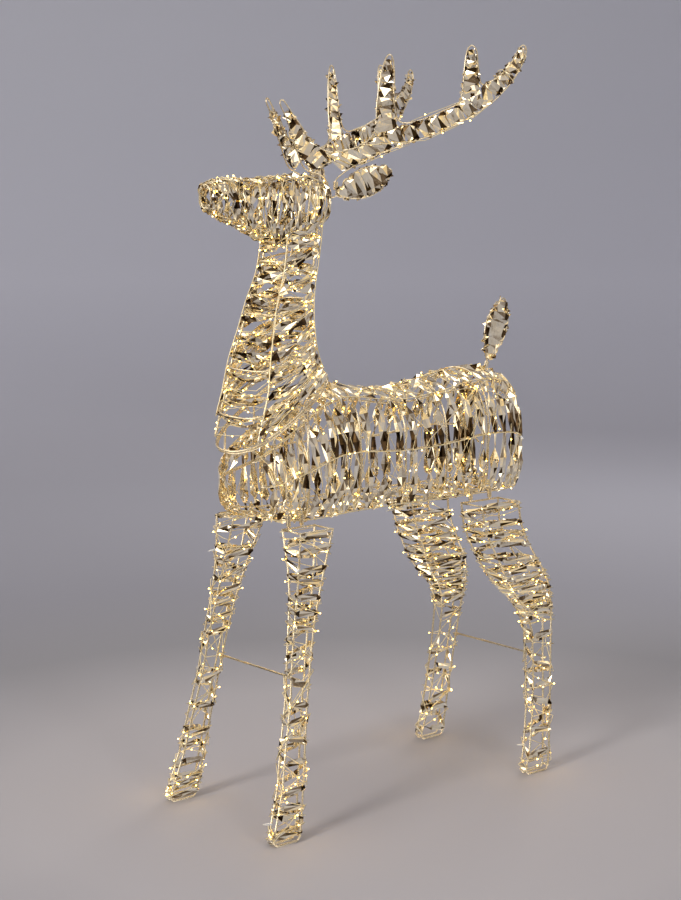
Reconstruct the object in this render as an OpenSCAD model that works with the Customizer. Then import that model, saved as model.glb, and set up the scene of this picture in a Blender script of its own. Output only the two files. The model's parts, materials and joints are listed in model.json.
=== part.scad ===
// Light-up yard reindeer: a standing animal of bent and welded rod, wound with a mirror film
// ribbon and strings of small lights, made in sections that hook and plug together.
// +X is the way the muzzle points, +Y is the animal's left, +Z is up, and the ground is Z = 0.

/* [Frame rod] */
// Diameter of the bent rod that every frame is made of
rod_d = 4; // [3:0.5:4.5]
// Diameter of the thinner rod in the antlers, ears and tail
thin_rod_d = 3; // [2:0.5:3.5]

/* [Film and lights] */
// Width of the film ribbon
film_w = 13; // [8:1:16]
// Thickness of the ribbon as it lies, folded and doubled
film_t = 0.6; // [0.4:0.1:1]
// Diameter of the twisted wire of a light string
wire_d = 1.6; // [1:0.2:2]
// Diameter of one light bead
bead_d = 3.6; // [3:0.2:4.4]
// Turns of ribbon round the torso
torso_turns = 18; // [12:1:24]
// Turns of ribbon round the neck
neck_turns = 12; // [8:1:18]
// Turns of ribbon round each leg
leg_turns = 12; // [8:1:20]

/* [Joins between sections] */
// Outer diameter of the sockets that take the posts of the legs, antlers and tail
socket_d = 9; // [8:0.5:10]
// Gap between a post and the wall of its socket
post_gap = 0.4; // [0.3:0.1:0.5]
// Length of a leg's post inside its socket
post_len = 24; // [16:2:28]
// Gap between the two collar rings
collar_gap = 0.6; // [0.5:0.1:1]

/* [Cable inlet] */
// Diameter of the hole that takes the supply lead
gland_bore_d = 5.2; // [4:0.2:6]
// Length of the gland
gland_len = 18; // [14:1:24]

/* [Hidden] */

gold = [0.86, 0.74, 0.52];
film_gold = [0.78, 0.68, 0.55];
wire_gold = [0.80, 0.66, 0.36];
clear_tie = [0.90, 0.90, 0.88];
gland_grey = [0.75, 0.72, 0.66];

ROD_SIDES = 6;
WIRE_SIDES = 4;
SOCKET_SIDES = 20;
STEP = 18;

// Section rows are [top or rear x, z, bottom or front x, z, half width, middle y].
// Torso, from the rump to the chest
TORSO = [
    [-376, 745, -366, 600, 60, 0],
    [-356, 812, -354, 593, 80, 0],
    [-325, 842, -325, 590, 88, 0],
    [-240, 850, -240, 589, 94, 0],
    [-130, 831, -130, 590, 97, 0],
    [-20, 822, -20, 592, 97, 0],
    [96, 838, 96, 590, 95, 0],
    [150, 832, 150, 587, 92, 0],
    [220, 786, 220, 587, 89, 0],
    [296, 736, 296, 598, 84, 0],
    [330, 714, 308, 606, 50, 0]
];
TORSO_BACK_ROUND = 2.4;
TORSO_BELLY_ROUND = 5;
HOOP_ROWS = [1.2, 2.9, 4, 5, 6];
CHEST_ROW = 9;
SHOULDER_ROW = 8;

// The collar plane slopes down from the withers to the chest
collar_back = [131, 866];
collar_front = [346, 724];
collar_half_w = 86;
collar_dir = (collar_front - collar_back) / norm(collar_front - collar_back);
collar_up = [-collar_dir[1], collar_dir[0]];
ring_lift = rod_d / cos(180 / ROD_SIDES) + collar_gap;
neck_back = collar_back + ring_lift * collar_up;
neck_front = collar_front + ring_lift * collar_up;
COLLAR_ROUND = 2.5;
pin_len = 9;
pin_d = rod_d - 0.6;
pin_inset = -(rod_d + 0.4);

// Neck, from the collar to the throat
NECK = [
    [neck_back[0], neck_back[1], neck_front[0], neck_front[1], collar_half_w, 0],
    [160, 890, 332, 780, 86, 0],
    [174, 915, 314, 834, 84, 0],
    [178, 947, 303, 890, 77, 0],
    [175, 985, 286, 950, 65, 0],
    [168, 1030, 270, 1006, 56, 0],
    [155, 1080, 249, 1062, 49, 0],
    [145, 1130, 240, 1112, 46, 0],
    [138, 1180, 236, 1146, 42, 0]
];
NECK_ROUND = 3.5;

// Head, from the poll to the nose
HEAD = [
    [118, 1226, 128, 1162, 38, 0],
    [150, 1241, 165, 1132, 45, 0],
    [205, 1244, 225, 1114, 45, 0],
    [262, 1239, 272, 1129, 39, 0],
    [315, 1238, 318, 1150, 31, 0],
    [365, 1237, 362, 1171, 24, 0],
    [396, 1228, 392, 1186, 16, 0]
];
HEAD_ROUND = 3;

// Front leg and rear leg, from the body down to the foot
FRONT_LEG = [
    [199, 579, 277, 579, 28, 106],
    [217, 510, 280, 510, 17, 115],
    [233, 450, 286, 450, 11, 122],
    [247, 400, 295, 400, 9, 127],
    [260, 340, 305, 340, 8, 134],
    [275, 260, 316, 260, 8, 142],
    [288, 180, 334, 180, 8, 151],
    [300, 100, 350, 100, 8, 160],
    [309, 40, 369, 40, 8, 166],
    [315, 10, 378, 10, 8, 169]
];
REAR_LEG = [
    [-295, 579, -190, 579, 30, 108],
    [-299, 535, -197, 535, 32, 110],
    [-312, 500, -210, 500, 33, 113],
    [-338, 455, -234, 455, 33, 118],
    [-367, 420, -253, 420, 27, 123],
    [-381, 390, -278, 390, 20, 127],
    [-388, 360, -307, 360, 15, 130],
    [-389, 335, -319, 335, 13, 134],
    [-384, 300, -328, 300, 12, 139],
    [-377, 220, -326, 220, 11, 147],
    [-370, 140, -319, 140, 10, 155],
    [-364, 60, -307, 60, 9, 161],
    [-360, 10, -295, 10, 8, 164]
];
LEG_CORNER = 60;
foot_bend = 6;
front_posts = [232, 264];
rear_posts = [-268, -214];
post_y = 80;
leg_top_z = 579;
socket_z = 584;

// Antler outline in its own upright plane: x runs back and outward from the base, z is up
ANTLER = [
    [-28, 6], [-62, 20], [-80, 62], [-96, 110], [-110, 140], [-104, 147], [-88, 126],
    [-66, 96], [-46, 68], [-8, 50], [40, 58], [72, 76], [84, 100], [86, 140], [94, 196],
    [104, 228], [112, 236], [119, 227], [122, 196], [122, 140], [136, 108], [178, 113],
    [222, 130], [256, 146], [265, 168], [268, 206], [274, 246], [284, 257], [294, 247],
    [298, 216], [305, 184], [324, 188], [348, 204], [370, 227], [384, 252], [394, 260],
    [401, 252], [394, 226], [372, 191], [338, 156], [298, 128], [222, 91], [150, 68],
    [84, 44], [36, 22], [6, 2]
];
antler_base = [116, 40, 1240];
antler_turn = 160;
// The right antler leans out and droops a little, with its sockets
right_antler_turn = 166;
right_antler_lean = 10;
right_antler_droop = 4;
// Rows of the antler's branches, each across the branch from one edge to the other
ANTLER_BEAM = [
    [-24, 44, 22, 16, 1, 0], [36, 54, 62, 34, 1, 0], [104, 88, 120, 58, 1, 0],
    [178, 111, 190, 80, 1, 0], [250, 140, 262, 108, 1, 0], [318, 186, 336, 158, 1, 0],
    [366, 224, 386, 212, 1, 0]
];
ANTLER_BROW = [[-58, 26, -26, 54, 1, 0], [-80, 66, -62, 88, 1, 0], [-100, 122, -90, 126, 1, 0]];
ANTLER_MID = [[86, 110, 124, 116, 1, 0], [90, 160, 121, 160, 1, 0], [104, 220, 116, 220, 1, 0]];
ANTLER_FORK = [[262, 160, 300, 168, 1, 0], [267, 200, 298, 200, 1, 0], [278, 244, 290, 244, 1, 0]];
// Each branch's film: its rows, then its first and last station, turns and points in a turn
ANTLER_FILM = [
    [ANTLER_BEAM, [1.3, 5.8, 9, 4]], [ANTLER_BROW, [0.7, 1.8, 3, 4]],
    [ANTLER_MID, [0.7, 1.8, 3, 4]], [ANTLER_FORK, [0.7, 1.8, 3, 4]]
];
antler_posts = [-18, 2];
antler_post_len = 22;
antler_lacings = 9;
antler_lace = [1.4, 5.6];
lace_angle = 50;
lace_out = thin_rod_d / 2 + 4;

// Leaf shapes of the ears and tail: length, half width, and where each stands
ear_len = 116;
ear_half_w = 27;
ear_base = [118, 50, 1208];
ear_turn = 150;
ear_rise = 24;
ear_post_len = 12;
tail_len = 136;
tail_half_w = 31;
tail_base = [-336, 0, 861];
tail_lean = 20;
tail_post_len = 14;
tail_station = 1.8;
LEAF = [0.16, 0.55, 0.86, 1, 0.96, 0.72, 0.3];

// How far the rails, the film and the lights lie from the middle of the hoops' rod
rail_inset = -(rod_d - 0.2);
film_out = rod_d / 2 + 0.6;
light_out = rod_d / 2 + 2.2;
thin_film_out = thin_rod_d / 2 + 0.5;
// First and last station of each winding, its turns and the points in a turn
TORSO_FILM = [0.35, 9.5, torso_turns, 10];
TORSO_LIGHTS = [0.5, 9.35, 7, 10];
NECK_FILM = [0.75, 7.1, neck_turns, 8];
NECK_LIGHTS = [0.7, 6.8, 6, 8];
HEAD_FILM = [1.2, 5.8, 7, 8];
HEAD_LIGHTS = [1.3, 5.8, 4, 8];
LEAF_FILM = [0.6, 5.6, 5.5, 4];
LEG_FILM = [0.25, 1.6, leg_turns, 4];
LEG_LIGHTS = [0.2, 1.3, 6, 4];
first_corner = 45;
light_start = 20;
NECK_HOOPS = [1.2, 2.8, 4.6, 6.4, 7.8];
HEAD_HOOPS = [0.2, 1.5, 3, 4.5, 5.9];
TORSO_TIES = [1.2, 5];
leaf_film_w = film_w * 0.9;
antler_film_w = film_w * 0.7;
gusset_d = rod_d - 1;
stay_d = rod_d * 0.6;
rung_d = rod_d * 0.9;
overlap = 0.6;

tie_h = 3;
tie_wall = 1.2;
tie_gap = 0.3;
tie_lock = 3.4;
tie_tail = 15;

brace_d = 3.6;
front_brace_z = 290;
rear_brace_z = 234;
hook_r = 5.6;
hook_tail = 12;
brace_clear = 1.6;
bush_d = 11;
bush_bore = 7.4;
bush_h = 6;

splice_pos = [-30, 0, 604];
splice_d = 20;
splice_len = 56;
splice_wall = 2;
splice_end = 3;
cap_t = 4;
cap_plug = 6;
cap_gap = 0.2;
gland_hex = [14, 5];
gland_taper = [11, 9];
ROUND = 48;

// ---------------------------------------------------------------- shapes that repeat

function unit(v) = v / norm(v);
function edge_pow(c, n) = sign(c) * pow(abs(c), 2 / n);
function clamp_row(S, i) = S[min(max(i, 0), len(S) - 1)];

// Row at station u of a list of rows, on a smooth curve through them
function row_at(S, u) =
    let (i = min(floor(u), len(S) - 2), t = u - i, a = clamp_row(S, i - 1), b = S[i],
         c = S[i + 1], d = clamp_row(S, i + 2))
    0.5 * (2 * b + (c - a) * t + (2 * a - 5 * b + 4 * c - d) * t * t
           + (3 * b - a - 3 * c + d) * t * t * t);

// Point of a section at angle th, where 0 is its second end and 180 its first, pushed out by out
function section_point(row, th, out, n_first, n_second) =
    let (a = [row[0], row[1]], b = [row[2], row[3]], c = (a + b) / 2, l = norm(b - a) / 2,
         e = (b - a) / (2 * l), n = cos(th) > 0 ? n_second : n_first,
         f = (l + out) * edge_pow(cos(th), n), g = (row[4] + out) * edge_pow(sin(th), n))
    [c[0] + e[0] * f, row[5] + g, c[1] + e[1] * f];

// Points round one section
function hoop_path(row, out, n_first, n_second, step = STEP) =
    [for (th = [0:step:359]) section_point(row, th, out, n_first, n_second)];

// Points along a list of rows at one angle
function rail_path(S, th, out, n_first, n_second, u0, u1, steps) =
    [for (k = [0:steps])
        section_point(row_at(S, u0 + (u1 - u0) * k / steps), th, out, n_first, n_second)];

// Points of a winding round a list of rows
function wind_path(S, wind, out, n_first, n_second, start) =
    let (count = round(wind[2] * wind[3]))
    [for (k = [0:count])
        section_point(row_at(S, wind[0] + (wind[1] - wind[0]) * k / count),
                      start + 360 * k / wind[3], out, n_first, n_second)];

// Direction of a path at point i, halfway between its two runs there
function path_dir(p, i, closed) =
    let (n = len(p))
    !closed && i == 0 ? unit(p[1] - p[0])
    : !closed && i == n - 1 ? unit(p[n - 1] - p[n - 2])
    : unit(unit(p[i] - p[(i + n - 1) % n]) + unit(p[(i + 1) % n] - p[i]));

// Widening of the rod across a bend, so that it keeps its thickness there
function bend_gain(p, i, closed) =
    let (n = len(p), inner = closed || (i > 0 && i < n - 1))
    !inner ? 1
    : let (u = unit(p[i] - p[(i + n - 1) % n]), v = unit(p[(i + 1) % n] - p[i]))
      1 / max(0.7, norm(u + v) / 2);

// Ring of points round c, square to direction t, across a flat of d
function ring(c, t, ref, d, sides, gain = 1) =
    let (s = unit(cross(ref, t)), q = cross(t, s), r = d / 2 / cos(180 / sides))
    [for (j = [0:sides - 1])
        let (a = 360 * (j + 0.5) / sides) c + r * (gain * cos(a) * s + sin(a) * q)];

function rod_rings(p, d, ref, sides, closed) =
    [for (i = [0:len(p) - 1])
        ring(p[i], path_dir(p, i, closed), ref, d, sides, bend_gain(p, i, closed))];

// Solid through a list of rings that all have the same number of points
module skin(rings, closed = false) {
    n = len(rings);
    m = len(rings[0]);
    spans = closed ? n : n - 1;
    sides = [for (i = [0:spans - 1], j = [0:m - 1])
        let (a = i * m + j, b = i * m + (j + 1) % m, c = ((i + 1) % n) * m + j,
             d = ((i + 1) % n) * m + (j + 1) % m)
        each [[a, c, d], [a, d, b]]];
    first = [for (j = [1:m - 2]) [0, j, j + 1]];
    last = [for (j = [1:m - 2]) [(n - 1) * m, (n - 1) * m + j + 1, (n - 1) * m + j]];
    polyhedron([for (r = rings) each r], closed ? sides : concat(sides, first, last));
}

// Bent rod along a path; ref is a direction that the rod never runs along
module rod(p, d, ref, closed = false, sides = ROD_SIDES) {
    skin(rod_rings(p, d, ref, sides, closed), closed);
}

// Straight rung between two points
module bar(a, b, d) {
    hull() {
        translate(a) sphere(d = d, $fn = 4);
        translate(b) sphere(d = d, $fn = 4);
    }
}

// Small drop of weld where two rods cross
module weld(p, d) {
    translate(p) hull() sphere(d = d, $fn = 4);
}

// Ribbon wound round a list of rows, flat against them
module film(S, wind, out, n_first, n_second, width = film_w, start = first_corner) {
    count = round(wind[2] * wind[3]);
    du = (wind[1] - wind[0]) / count;
    skin([for (k = [0:count])
        let (u = wind[0] + du * k, th = start + 360 * k / wind[3],
             p = section_point(row_at(S, u), th, out, n_first, n_second),
             o = section_point(row_at(S, u), th, out + 1, n_first, n_second),
             ahead = section_point(row_at(S, u + 0.05), th, out, n_first, n_second),
             along = unit(ahead - p) * width / 2, up = unit(o - p) * film_t / 2)
        [p - along - up, p - along + up, p + along + up, p + along - up]]);
}

// Light string along a path, with a bead at every second point
module lights(p, ref) {
    color(wire_gold)
        skin([for (i = [0:len(p) - 1])
            let (t = path_dir(p, i, false), bead = i % 2 == 1 && i < len(p) - 1)
            each (bead ? [ring(p[i] - bead_d * t, t, ref, wire_d, WIRE_SIDES),
                          ring(p[i], t, ref, bead_d, WIRE_SIDES),
                          ring(p[i] + bead_d * t, t, ref, wire_d, WIRE_SIDES)]
                       : [ring(p[i], t, ref, wire_d, WIRE_SIDES)])]);
}

// Cable tie round a rod that runs along dir, with its cut tail
module tie(p, dir, tail) {
    u = unit(dir);
    turn = acos(u[2]);
    axis = norm([u[0], u[1]]) < 0.001 ? [1, 0, 0] : [-u[1], u[0], 0];
    color(clear_tie) translate(p) {
        rotate(a = turn, v = axis)
            difference() {
                cylinder(h = tie_h, r = rod_d / 2 + tie_gap + tie_wall, center = true, $fn = 24);
                cylinder(h = tie_h + 1, r = rod_d / 2 + tie_gap, center = true, $fn = 24);
            }
        hull() {
            translate(unit(tail) * (rod_d / 2 + tie_lock / 2 + 0.5)) cube(tie_lock, center = true);
            translate(unit(tail) * (rod_d / 2 + tie_tail)) cube(1, center = true);
        }
    }
}

// Socket tube, open at both ends
module socket(h) {
    difference() {
        cylinder(h = h, d = socket_d, $fn = SOCKET_SIDES);
        translate([0, 0, -1]) cylinder(h = h + 2, d = rod_d + 2 * post_gap, $fn = SOCKET_SIDES);
    }
}

// ---------------------------------------------------------------- torso

function torso_point(u, th, out = 0) =
    section_point(row_at(TORSO, u), th, out, TORSO_BACK_ROUND, TORSO_BELLY_ROUND);

torso_rail_angles = [35, 90, 142, 180, 218, 270, 325];
torso_rail_rows = [0.15, 0.6, 1, 1.6, 2.3, 3, 4, 5, 6, 7, 8, 9, 9.6];

module torso_rails() {
    color(gold)
        for (th = torso_rail_angles)
            rod([for (u = torso_rail_rows) torso_point(u, th, rail_inset)], rod_d, [0, 1, 0]);
}

module torso_hoop(i) {
    color(gold)
        rod(hoop_path(row_at(TORSO, HOOP_ROWS[i]), 0, TORSO_BACK_ROUND, TORSO_BELLY_ROUND),
            rod_d, [1, 0, 0], closed = true);
}

// Hoop that is open at the top and ends on the collar ring
module open_hoop(u) {
    x = TORSO[u][0];
    ends = [for (s = [1, -1]) collar_point_at_x(x, s, -rod_d / 2)];
    below = [for (th = [108:-STEP:-108]) torso_point(u, th)];
    color(gold) rod(concat([ends[0]], below, [ends[1]]), rod_d, [1, 0, 0]);
}

module chest_hoop() {
    open_hoop(CHEST_ROW);
}

module shoulder_hoop() {
    open_hoop(SHOULDER_ROW);
}

COLLAR = [collar_back[0], collar_back[1], collar_front[0], collar_front[1], collar_half_w, 0];

// Point of the collar ring at a given x, on side s, with a lift off the collar plane
function collar_point_at_x(x, s, lift) =
    let (c = (collar_back + collar_front) / 2, l = norm(collar_front - collar_back) / 2,
         f = (x - c[0]) / collar_dir[0] / l,
         g = pow(1 - pow(abs(f), COLLAR_ROUND), 1 / COLLAR_ROUND),
         m = c + f * l * collar_dir + lift * collar_up)
    [m[0], s * collar_half_w * g, m[1]];

collar_normal = [collar_up[0], 0, collar_up[1]];

module torso_collar_ring() {
    color(gold)
        rod(hoop_path(COLLAR, 0, COLLAR_ROUND, COLLAR_ROUND), rod_d, collar_normal, closed = true);
}

// Station of the torso rows at a given x
function torso_station(x) =
    let (i = [for (k = [0:len(TORSO) - 2]) if (TORSO[k][2] <= x && TORSO[k + 1][2] > x) k][0])
    i + (x - TORSO[i][2]) / (TORSO[i + 1][2] - TORSO[i][2]);

// Each socket hangs from the lower rail by a short gusset
module leg_sockets() {
    color(gold)
        for (x = concat(front_posts, rear_posts), s = [1, -1]) {
            translate([x, s * post_y, socket_z]) socket(post_len - 4);
            rail = torso_point(torso_station(x), s * torso_rail_angles[0], rail_inset);
            bar([x, s * (post_y - socket_d / 2 + overlap), rail[2] + 1], rail, gusset_d);
        }
}

// The tail's socket stands on the spine rail on two stays
module tail_socket() {
    foot = torso_point(tail_station, 180, rail_inset);
    low = tail_base + (tail_post_len - 2) * [sin(tail_lean), 0, -cos(tail_lean)];
    color(gold) {
        translate(tail_base) rotate([0, -tail_lean, 0])
            translate([0, 0, -tail_post_len]) socket(tail_post_len - 4);
        for (s = [1, -1]) bar(low + [0, s * (socket_d / 2 - overlap), 0], foot, stay_d);
    }
}

module splice_sleeve() {
    color(gland_grey)
        translate(splice_pos) rotate([0, 90, 0])
            difference() {
                cylinder(h = splice_len, d = splice_d, center = true, $fn = ROUND);
                translate([0, 0, splice_end])
                    cylinder(h = splice_len, r = splice_d / 2 - splice_wall, center = true, $fn = ROUND);
                cylinder(h = splice_len + 2, d = gland_bore_d, center = true, $fn = ROUND);
            }
}

module splice_cap() {
    color(gland_grey)
        translate(splice_pos + [splice_len / 2, 0, 0]) rotate([0, 90, 0]) {
            cylinder(h = cap_t, d = splice_d, $fn = ROUND);
            translate([0, 0, -cap_plug])
                cylinder(h = cap_plug, r = splice_d / 2 - splice_wall - cap_gap, $fn = ROUND);
        }
}

// Gland on the closed end of the splice sleeve; the supply lead would come out along -X
module lead_gland() {
    color(gland_grey)
        translate(splice_pos - [splice_len / 2, 0, 0]) rotate([0, -90, 0])
            difference() {
                union() {
                    cylinder(h = gland_hex[1], d = gland_hex[0], $fn = 6);
                    cylinder(h = gland_len, d1 = gland_taper[0], d2 = gland_taper[1], $fn = ROUND);
                }
                translate([0, 0, -1]) cylinder(h = gland_len + 2, d = gland_bore_d, $fn = ROUND);
            }
}

// Room round the leg posts, where the windings are parted
module post_room() {
    for (x = concat(front_posts, rear_posts), s = [1, -1])
        translate([x, s * post_y, socket_z])
            hull() cube([socket_d + 6, socket_d + 6, 2 * post_len + 8], center = true);
}

module torso_film() {
    color(film_gold)
        difference() {
            film(TORSO, TORSO_FILM, film_out, TORSO_BACK_ROUND, TORSO_BELLY_ROUND, start = 0);
            post_room();
        }
}

module torso_lights() {
    difference() {
        lights(wind_path(TORSO, TORSO_LIGHTS, light_out, TORSO_BACK_ROUND, TORSO_BELLY_ROUND, STEP),
               [1, 0, 0]);
        post_room();
    }
}

module torso_ties() {
    for (s = [1, -1])
        for (u = TORSO_TIES)
            tie(torso_point(u, s * 90), [0, 0, 1], [0.2, s, -0.4]);
}

// ---------------------------------------------------------------- neck and head

neck_rail_angles = [45, 135, 225, 315];
head_rail_angles = [40, 140, 220, 320, 0, 180];
neck_axis = [-0.35, 0, 0.94];

module neck_collar_ring() {
    color(gold) {
        rod(hoop_path(NECK[0], 0, COLLAR_ROUND, COLLAR_ROUND), rod_d, collar_normal, closed = true);
        for (th = [0, 90, 180, 270])
            let (p = section_point(NECK[0], th, pin_inset, COLLAR_ROUND, COLLAR_ROUND))
                bar(p + 2 * collar_normal, p - (ring_lift + pin_len) * collar_normal, pin_d);
        for (th = [45:90:315])
            weld(section_point(NECK[0], th, 0, COLLAR_ROUND, COLLAR_ROUND) + collar_normal,
                 rod_d - 1);
    }
}

module neck_rails() {
    color(gold)
        for (th = neck_rail_angles)
            rod(rail_path(NECK, th, rail_inset, NECK_ROUND, NECK_ROUND, 0.12, 8, 10), rod_d,
                [0, 1, 0]);
}

module neck_hoops() {
    color(gold)
        for (u = NECK_HOOPS)
            rod(hoop_path(row_at(NECK, u), 0, NECK_ROUND, NECK_ROUND, 30), rod_d, neck_axis,
                closed = true);
}

module head_rails() {
    color(gold)
        for (th = head_rail_angles)
            rod(rail_path(HEAD, th, rail_inset, HEAD_ROUND, HEAD_ROUND, 0, 6, 7), rod_d,
                [0, 1, 0]);
}

module head_hoops() {
    color(gold)
        for (u = HEAD_HOOPS)
            rod(hoop_path(row_at(HEAD, u), 0, HEAD_ROUND, HEAD_ROUND, 40), rod_d, [1, 0, 0],
                closed = true);
}

// Places its children in the antler plane, for the left antler and for the right
module antler_place(side) {
    if (side == "left")
        translate(antler_base) rotate([0, 0, antler_turn]) children();
    else
        mirror([0, 1, 0]) translate(antler_base) rotate([0, 0, right_antler_turn])
            rotate([right_antler_lean, 0, 0]) rotate([0, right_antler_droop, 0]) children();
}

module antler_sockets() {
    color(gold)
        for (side = ["left", "right"], t = antler_posts)
            antler_place(side) translate([t, 0, -antler_post_len]) socket(antler_post_len - 6);
}

module neck_film() {
    color(film_gold)
        film(NECK, NECK_FILM, film_out, NECK_ROUND, NECK_ROUND);
}

module head_film() {
    color(film_gold)
        film(HEAD, HEAD_FILM, film_out, HEAD_ROUND, HEAD_ROUND);
}

module neck_lights() {
    lights(wind_path(NECK, NECK_LIGHTS, light_out, NECK_ROUND, NECK_ROUND, light_start), neck_axis);
}

module head_lights() {
    lights(wind_path(HEAD, HEAD_LIGHTS, light_out, HEAD_ROUND, HEAD_ROUND, light_start), [1, 0, 0]);
}

// ---------------------------------------------------------------- leaf shapes

// Rows of a leaf that stands on the origin, length l up Z and half width w along X
function leaf_rows(l, w) =
    [for (i = [0:len(LEAF) - 1])
        let (z = l * (0.02 + 0.93 * i / (len(LEAF) - 1))) [-w * LEAF[i], z, w * LEAF[i], z, 1.6, 0]];

// Outline of a leaf, bent from one rod that starts as a post below the origin
function leaf_outline(l, w, post) =
    let (rows = leaf_rows(l, w), n = len(rows) - 1,
         right = [for (k = [0:10]) let (r = row_at(rows, n * k / 10)) [r[2], 0, r[3]]],
         left = [for (k = [10:-1:1]) let (r = row_at(rows, n * k / 10)) [r[0], 0, r[1]]])
    concat([[0, 0, -post], [0, 0, -2]], right, [[0, 0, l]], left, [[-5, 0, 2]]);

module leaf_frame(l, w, post) {
    color(gold) rod(leaf_outline(l, w, post), thin_rod_d, [0, 1, 0]);
}

module leaf_film(l, w) {
    color(film_gold)
        film(leaf_rows(l, w), LEAF_FILM, thin_film_out, LEG_CORNER, LEG_CORNER,
             width = leaf_film_w);
}

module ear_place() {
    translate(ear_base) rotate([0, 0, ear_turn]) rotate([0, 90 - ear_rise, 0]) children();
}

module left_ear_frame() {
    ear_place() leaf_frame(ear_len, ear_half_w, ear_post_len);
}

module left_ear_film() {
    ear_place() leaf_film(ear_len, ear_half_w);
}

module right_ear_frame() {
    mirror([0, 1, 0]) left_ear_frame();
}

module right_ear_film() {
    mirror([0, 1, 0]) left_ear_film();
}

module tail_frame() {
    color(gold)
        translate(tail_base) rotate([0, -tail_lean, 0])
            leaf_frame(tail_len, tail_half_w, tail_post_len);
}

module tail_film() {
    translate(tail_base) rotate([0, -tail_lean, 0]) leaf_film(tail_len, tail_half_w);
}

// ---------------------------------------------------------------- antlers

// Outline bent from one rod, whose two ends go down as posts
module antler_frame() {
    posts = [for (t = antler_posts) [[t, 0, -antler_post_len + 4], [t, 0, -4]]];
    outline = [for (p = ANTLER) [p[0], 0, p[1]]];
    color(gold) rod(concat(posts[0], outline, [posts[1][1], posts[1][0]]), thin_rod_d, [0, 1, 0]);
}

module antler_film() {
    color(film_gold)
        for (part = ANTLER_FILM)
            film(part[0], part[1], thin_film_out, LEG_CORNER, LEG_CORNER, width = antler_film_w);
}

// Light string laced from edge to edge over the beam's outer face
module antler_lights() {
    lights([for (k = [0:antler_lacings])
        section_point(row_at(ANTLER_BEAM, antler_lace[0] + (antler_lace[1] - antler_lace[0]) * k
                                          / antler_lacings),
                      k % 2 == 0 ? lace_angle : 180 - lace_angle, lace_out, LEG_CORNER,
                      LEG_CORNER)], [0, 1, 0]);
}

module left_antler_frame() {
    antler_place("left") antler_frame();
}

module left_antler_film() {
    antler_place("left") antler_film();
}

module left_antler_lights() {
    antler_place("left") antler_lights();
}

module right_antler_frame() {
    antler_place("right") antler_frame();
}

module right_antler_film() {
    antler_place("right") antler_film();
}

module right_antler_lights() {
    antler_place("right") antler_lights();
}

// ---------------------------------------------------------------- legs

// Side outline of a leg at side s of its middle, down the front edge and up the rear edge
function leg_outline(S, s) =
    let (last = S[len(S) - 1], y = last[5] + s * last[4], z = rod_d / 2,
         down = [for (r = S) [r[2], r[5] + s * r[4], r[3]]],
         up = [for (i = [len(S) - 1:-1:0]) let (r = S[i]) [r[0], r[5] + s * r[4], r[1]]])
    concat(down, [[last[2] - foot_bend, y, z], [last[0] + foot_bend, y, z]], up);

// Rungs between the two side outlines at some of a leg's rows
module leg_rungs(S, rows) {
    for (i = rows)
        let (r = S[i])
            for (p = [[r[0], r[1]], [r[2], r[3]]])
                bar([p[0], r[5] - r[4], p[1]], [p[0], r[5] + r[4], p[1]], rung_d);
}

module leg_frame(S, rows, posts) {
    color(gold) {
        for (s = [1, -1])
            rod(leg_outline(S, s), rod_d, [0, 1, 0], closed = true);
        leg_rungs(S, rows);
        for (x = posts)
            translate([x, post_y, leg_top_z - 1]) cylinder(h = post_len + 7, d = rod_d, $fn = 16);
    }
}

// Rear-inner wire of a leg at height z: [x, y] between two rows
function wire_at(S, z) =
    let (i = [for (k = [0:len(S) - 2]) if (S[k][1] >= z && S[k + 1][1] <= z) k][0],
         t = (S[i][1] - z) / (S[i][1] - S[i + 1][1]), r = S[i] + (S[i + 1] - S[i]) * t)
    [r[0], r[5] - r[4]];

// Room for the brace's bush and hook, where the winding is parted
module brace_room(S, z) {
    w = wire_at(S, z);
    half = hook_r + brace_d / 2 + brace_clear;
    h = bush_h + 2 * brace_clear;
    translate([w[0] - half, w[1] - half, z - h / 2])
        hull() cube([half + hook_tail + brace_clear + brace_d / 2, 2 * half, h]);
}

// A leg's winding, whose last station is counted back from its foot
function to_foot(S, wind) = [wind[0], len(S) - wind[1], wind[2], wind[3]];

module leg_film(S, brace_z) {
    color(film_gold)
        difference() {
            film(S, to_foot(S, LEG_FILM), film_out, LEG_CORNER, LEG_CORNER);
            brace_room(S, brace_z);
        }
}

module leg_lights(S, brace_z) {
    difference() {
        lights(wind_path(S, to_foot(S, LEG_LIGHTS), light_out, LEG_CORNER, LEG_CORNER,
                         3 * first_corner), [0, 0, 1]);
        brace_room(S, brace_z);
    }
}

module leg_ties(S) {
    toe = S[len(S) - 2];
    top = S[1];
    tie([toe[2], toe[5] - toe[4], toe[3]], [0.2, 0, -1], [1, -0.2, 0.1]);
    tie([top[2], top[5] + top[4], top[3]], [0, 0, 1], [0.9, 0.5, -0.2]);
}

module front_left_leg_frame() {
    leg_frame(FRONT_LEG, [0, 2, 5, 7, 9], front_posts);
}

module front_left_leg_film() {
    leg_film(FRONT_LEG, front_brace_z);
}

module front_left_leg_lights() {
    leg_lights(FRONT_LEG, front_brace_z);
}

module front_left_leg_ties() {
    leg_ties(FRONT_LEG);
}

module front_right_leg_frame() {
    mirror([0, 1, 0]) front_left_leg_frame();
}

module front_right_leg_film() {
    mirror([0, 1, 0]) front_left_leg_film();
}

module front_right_leg_lights() {
    mirror([0, 1, 0]) front_left_leg_lights();
}

module front_right_leg_ties() {
    mirror([0, 1, 0]) front_left_leg_ties();
}

module rear_left_leg_frame() {
    leg_frame(REAR_LEG, [0, 3, 6, 10, 12], rear_posts);
}

module rear_left_leg_film() {
    leg_film(REAR_LEG, rear_brace_z);
}

module rear_left_leg_lights() {
    leg_lights(REAR_LEG, rear_brace_z);
}

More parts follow.
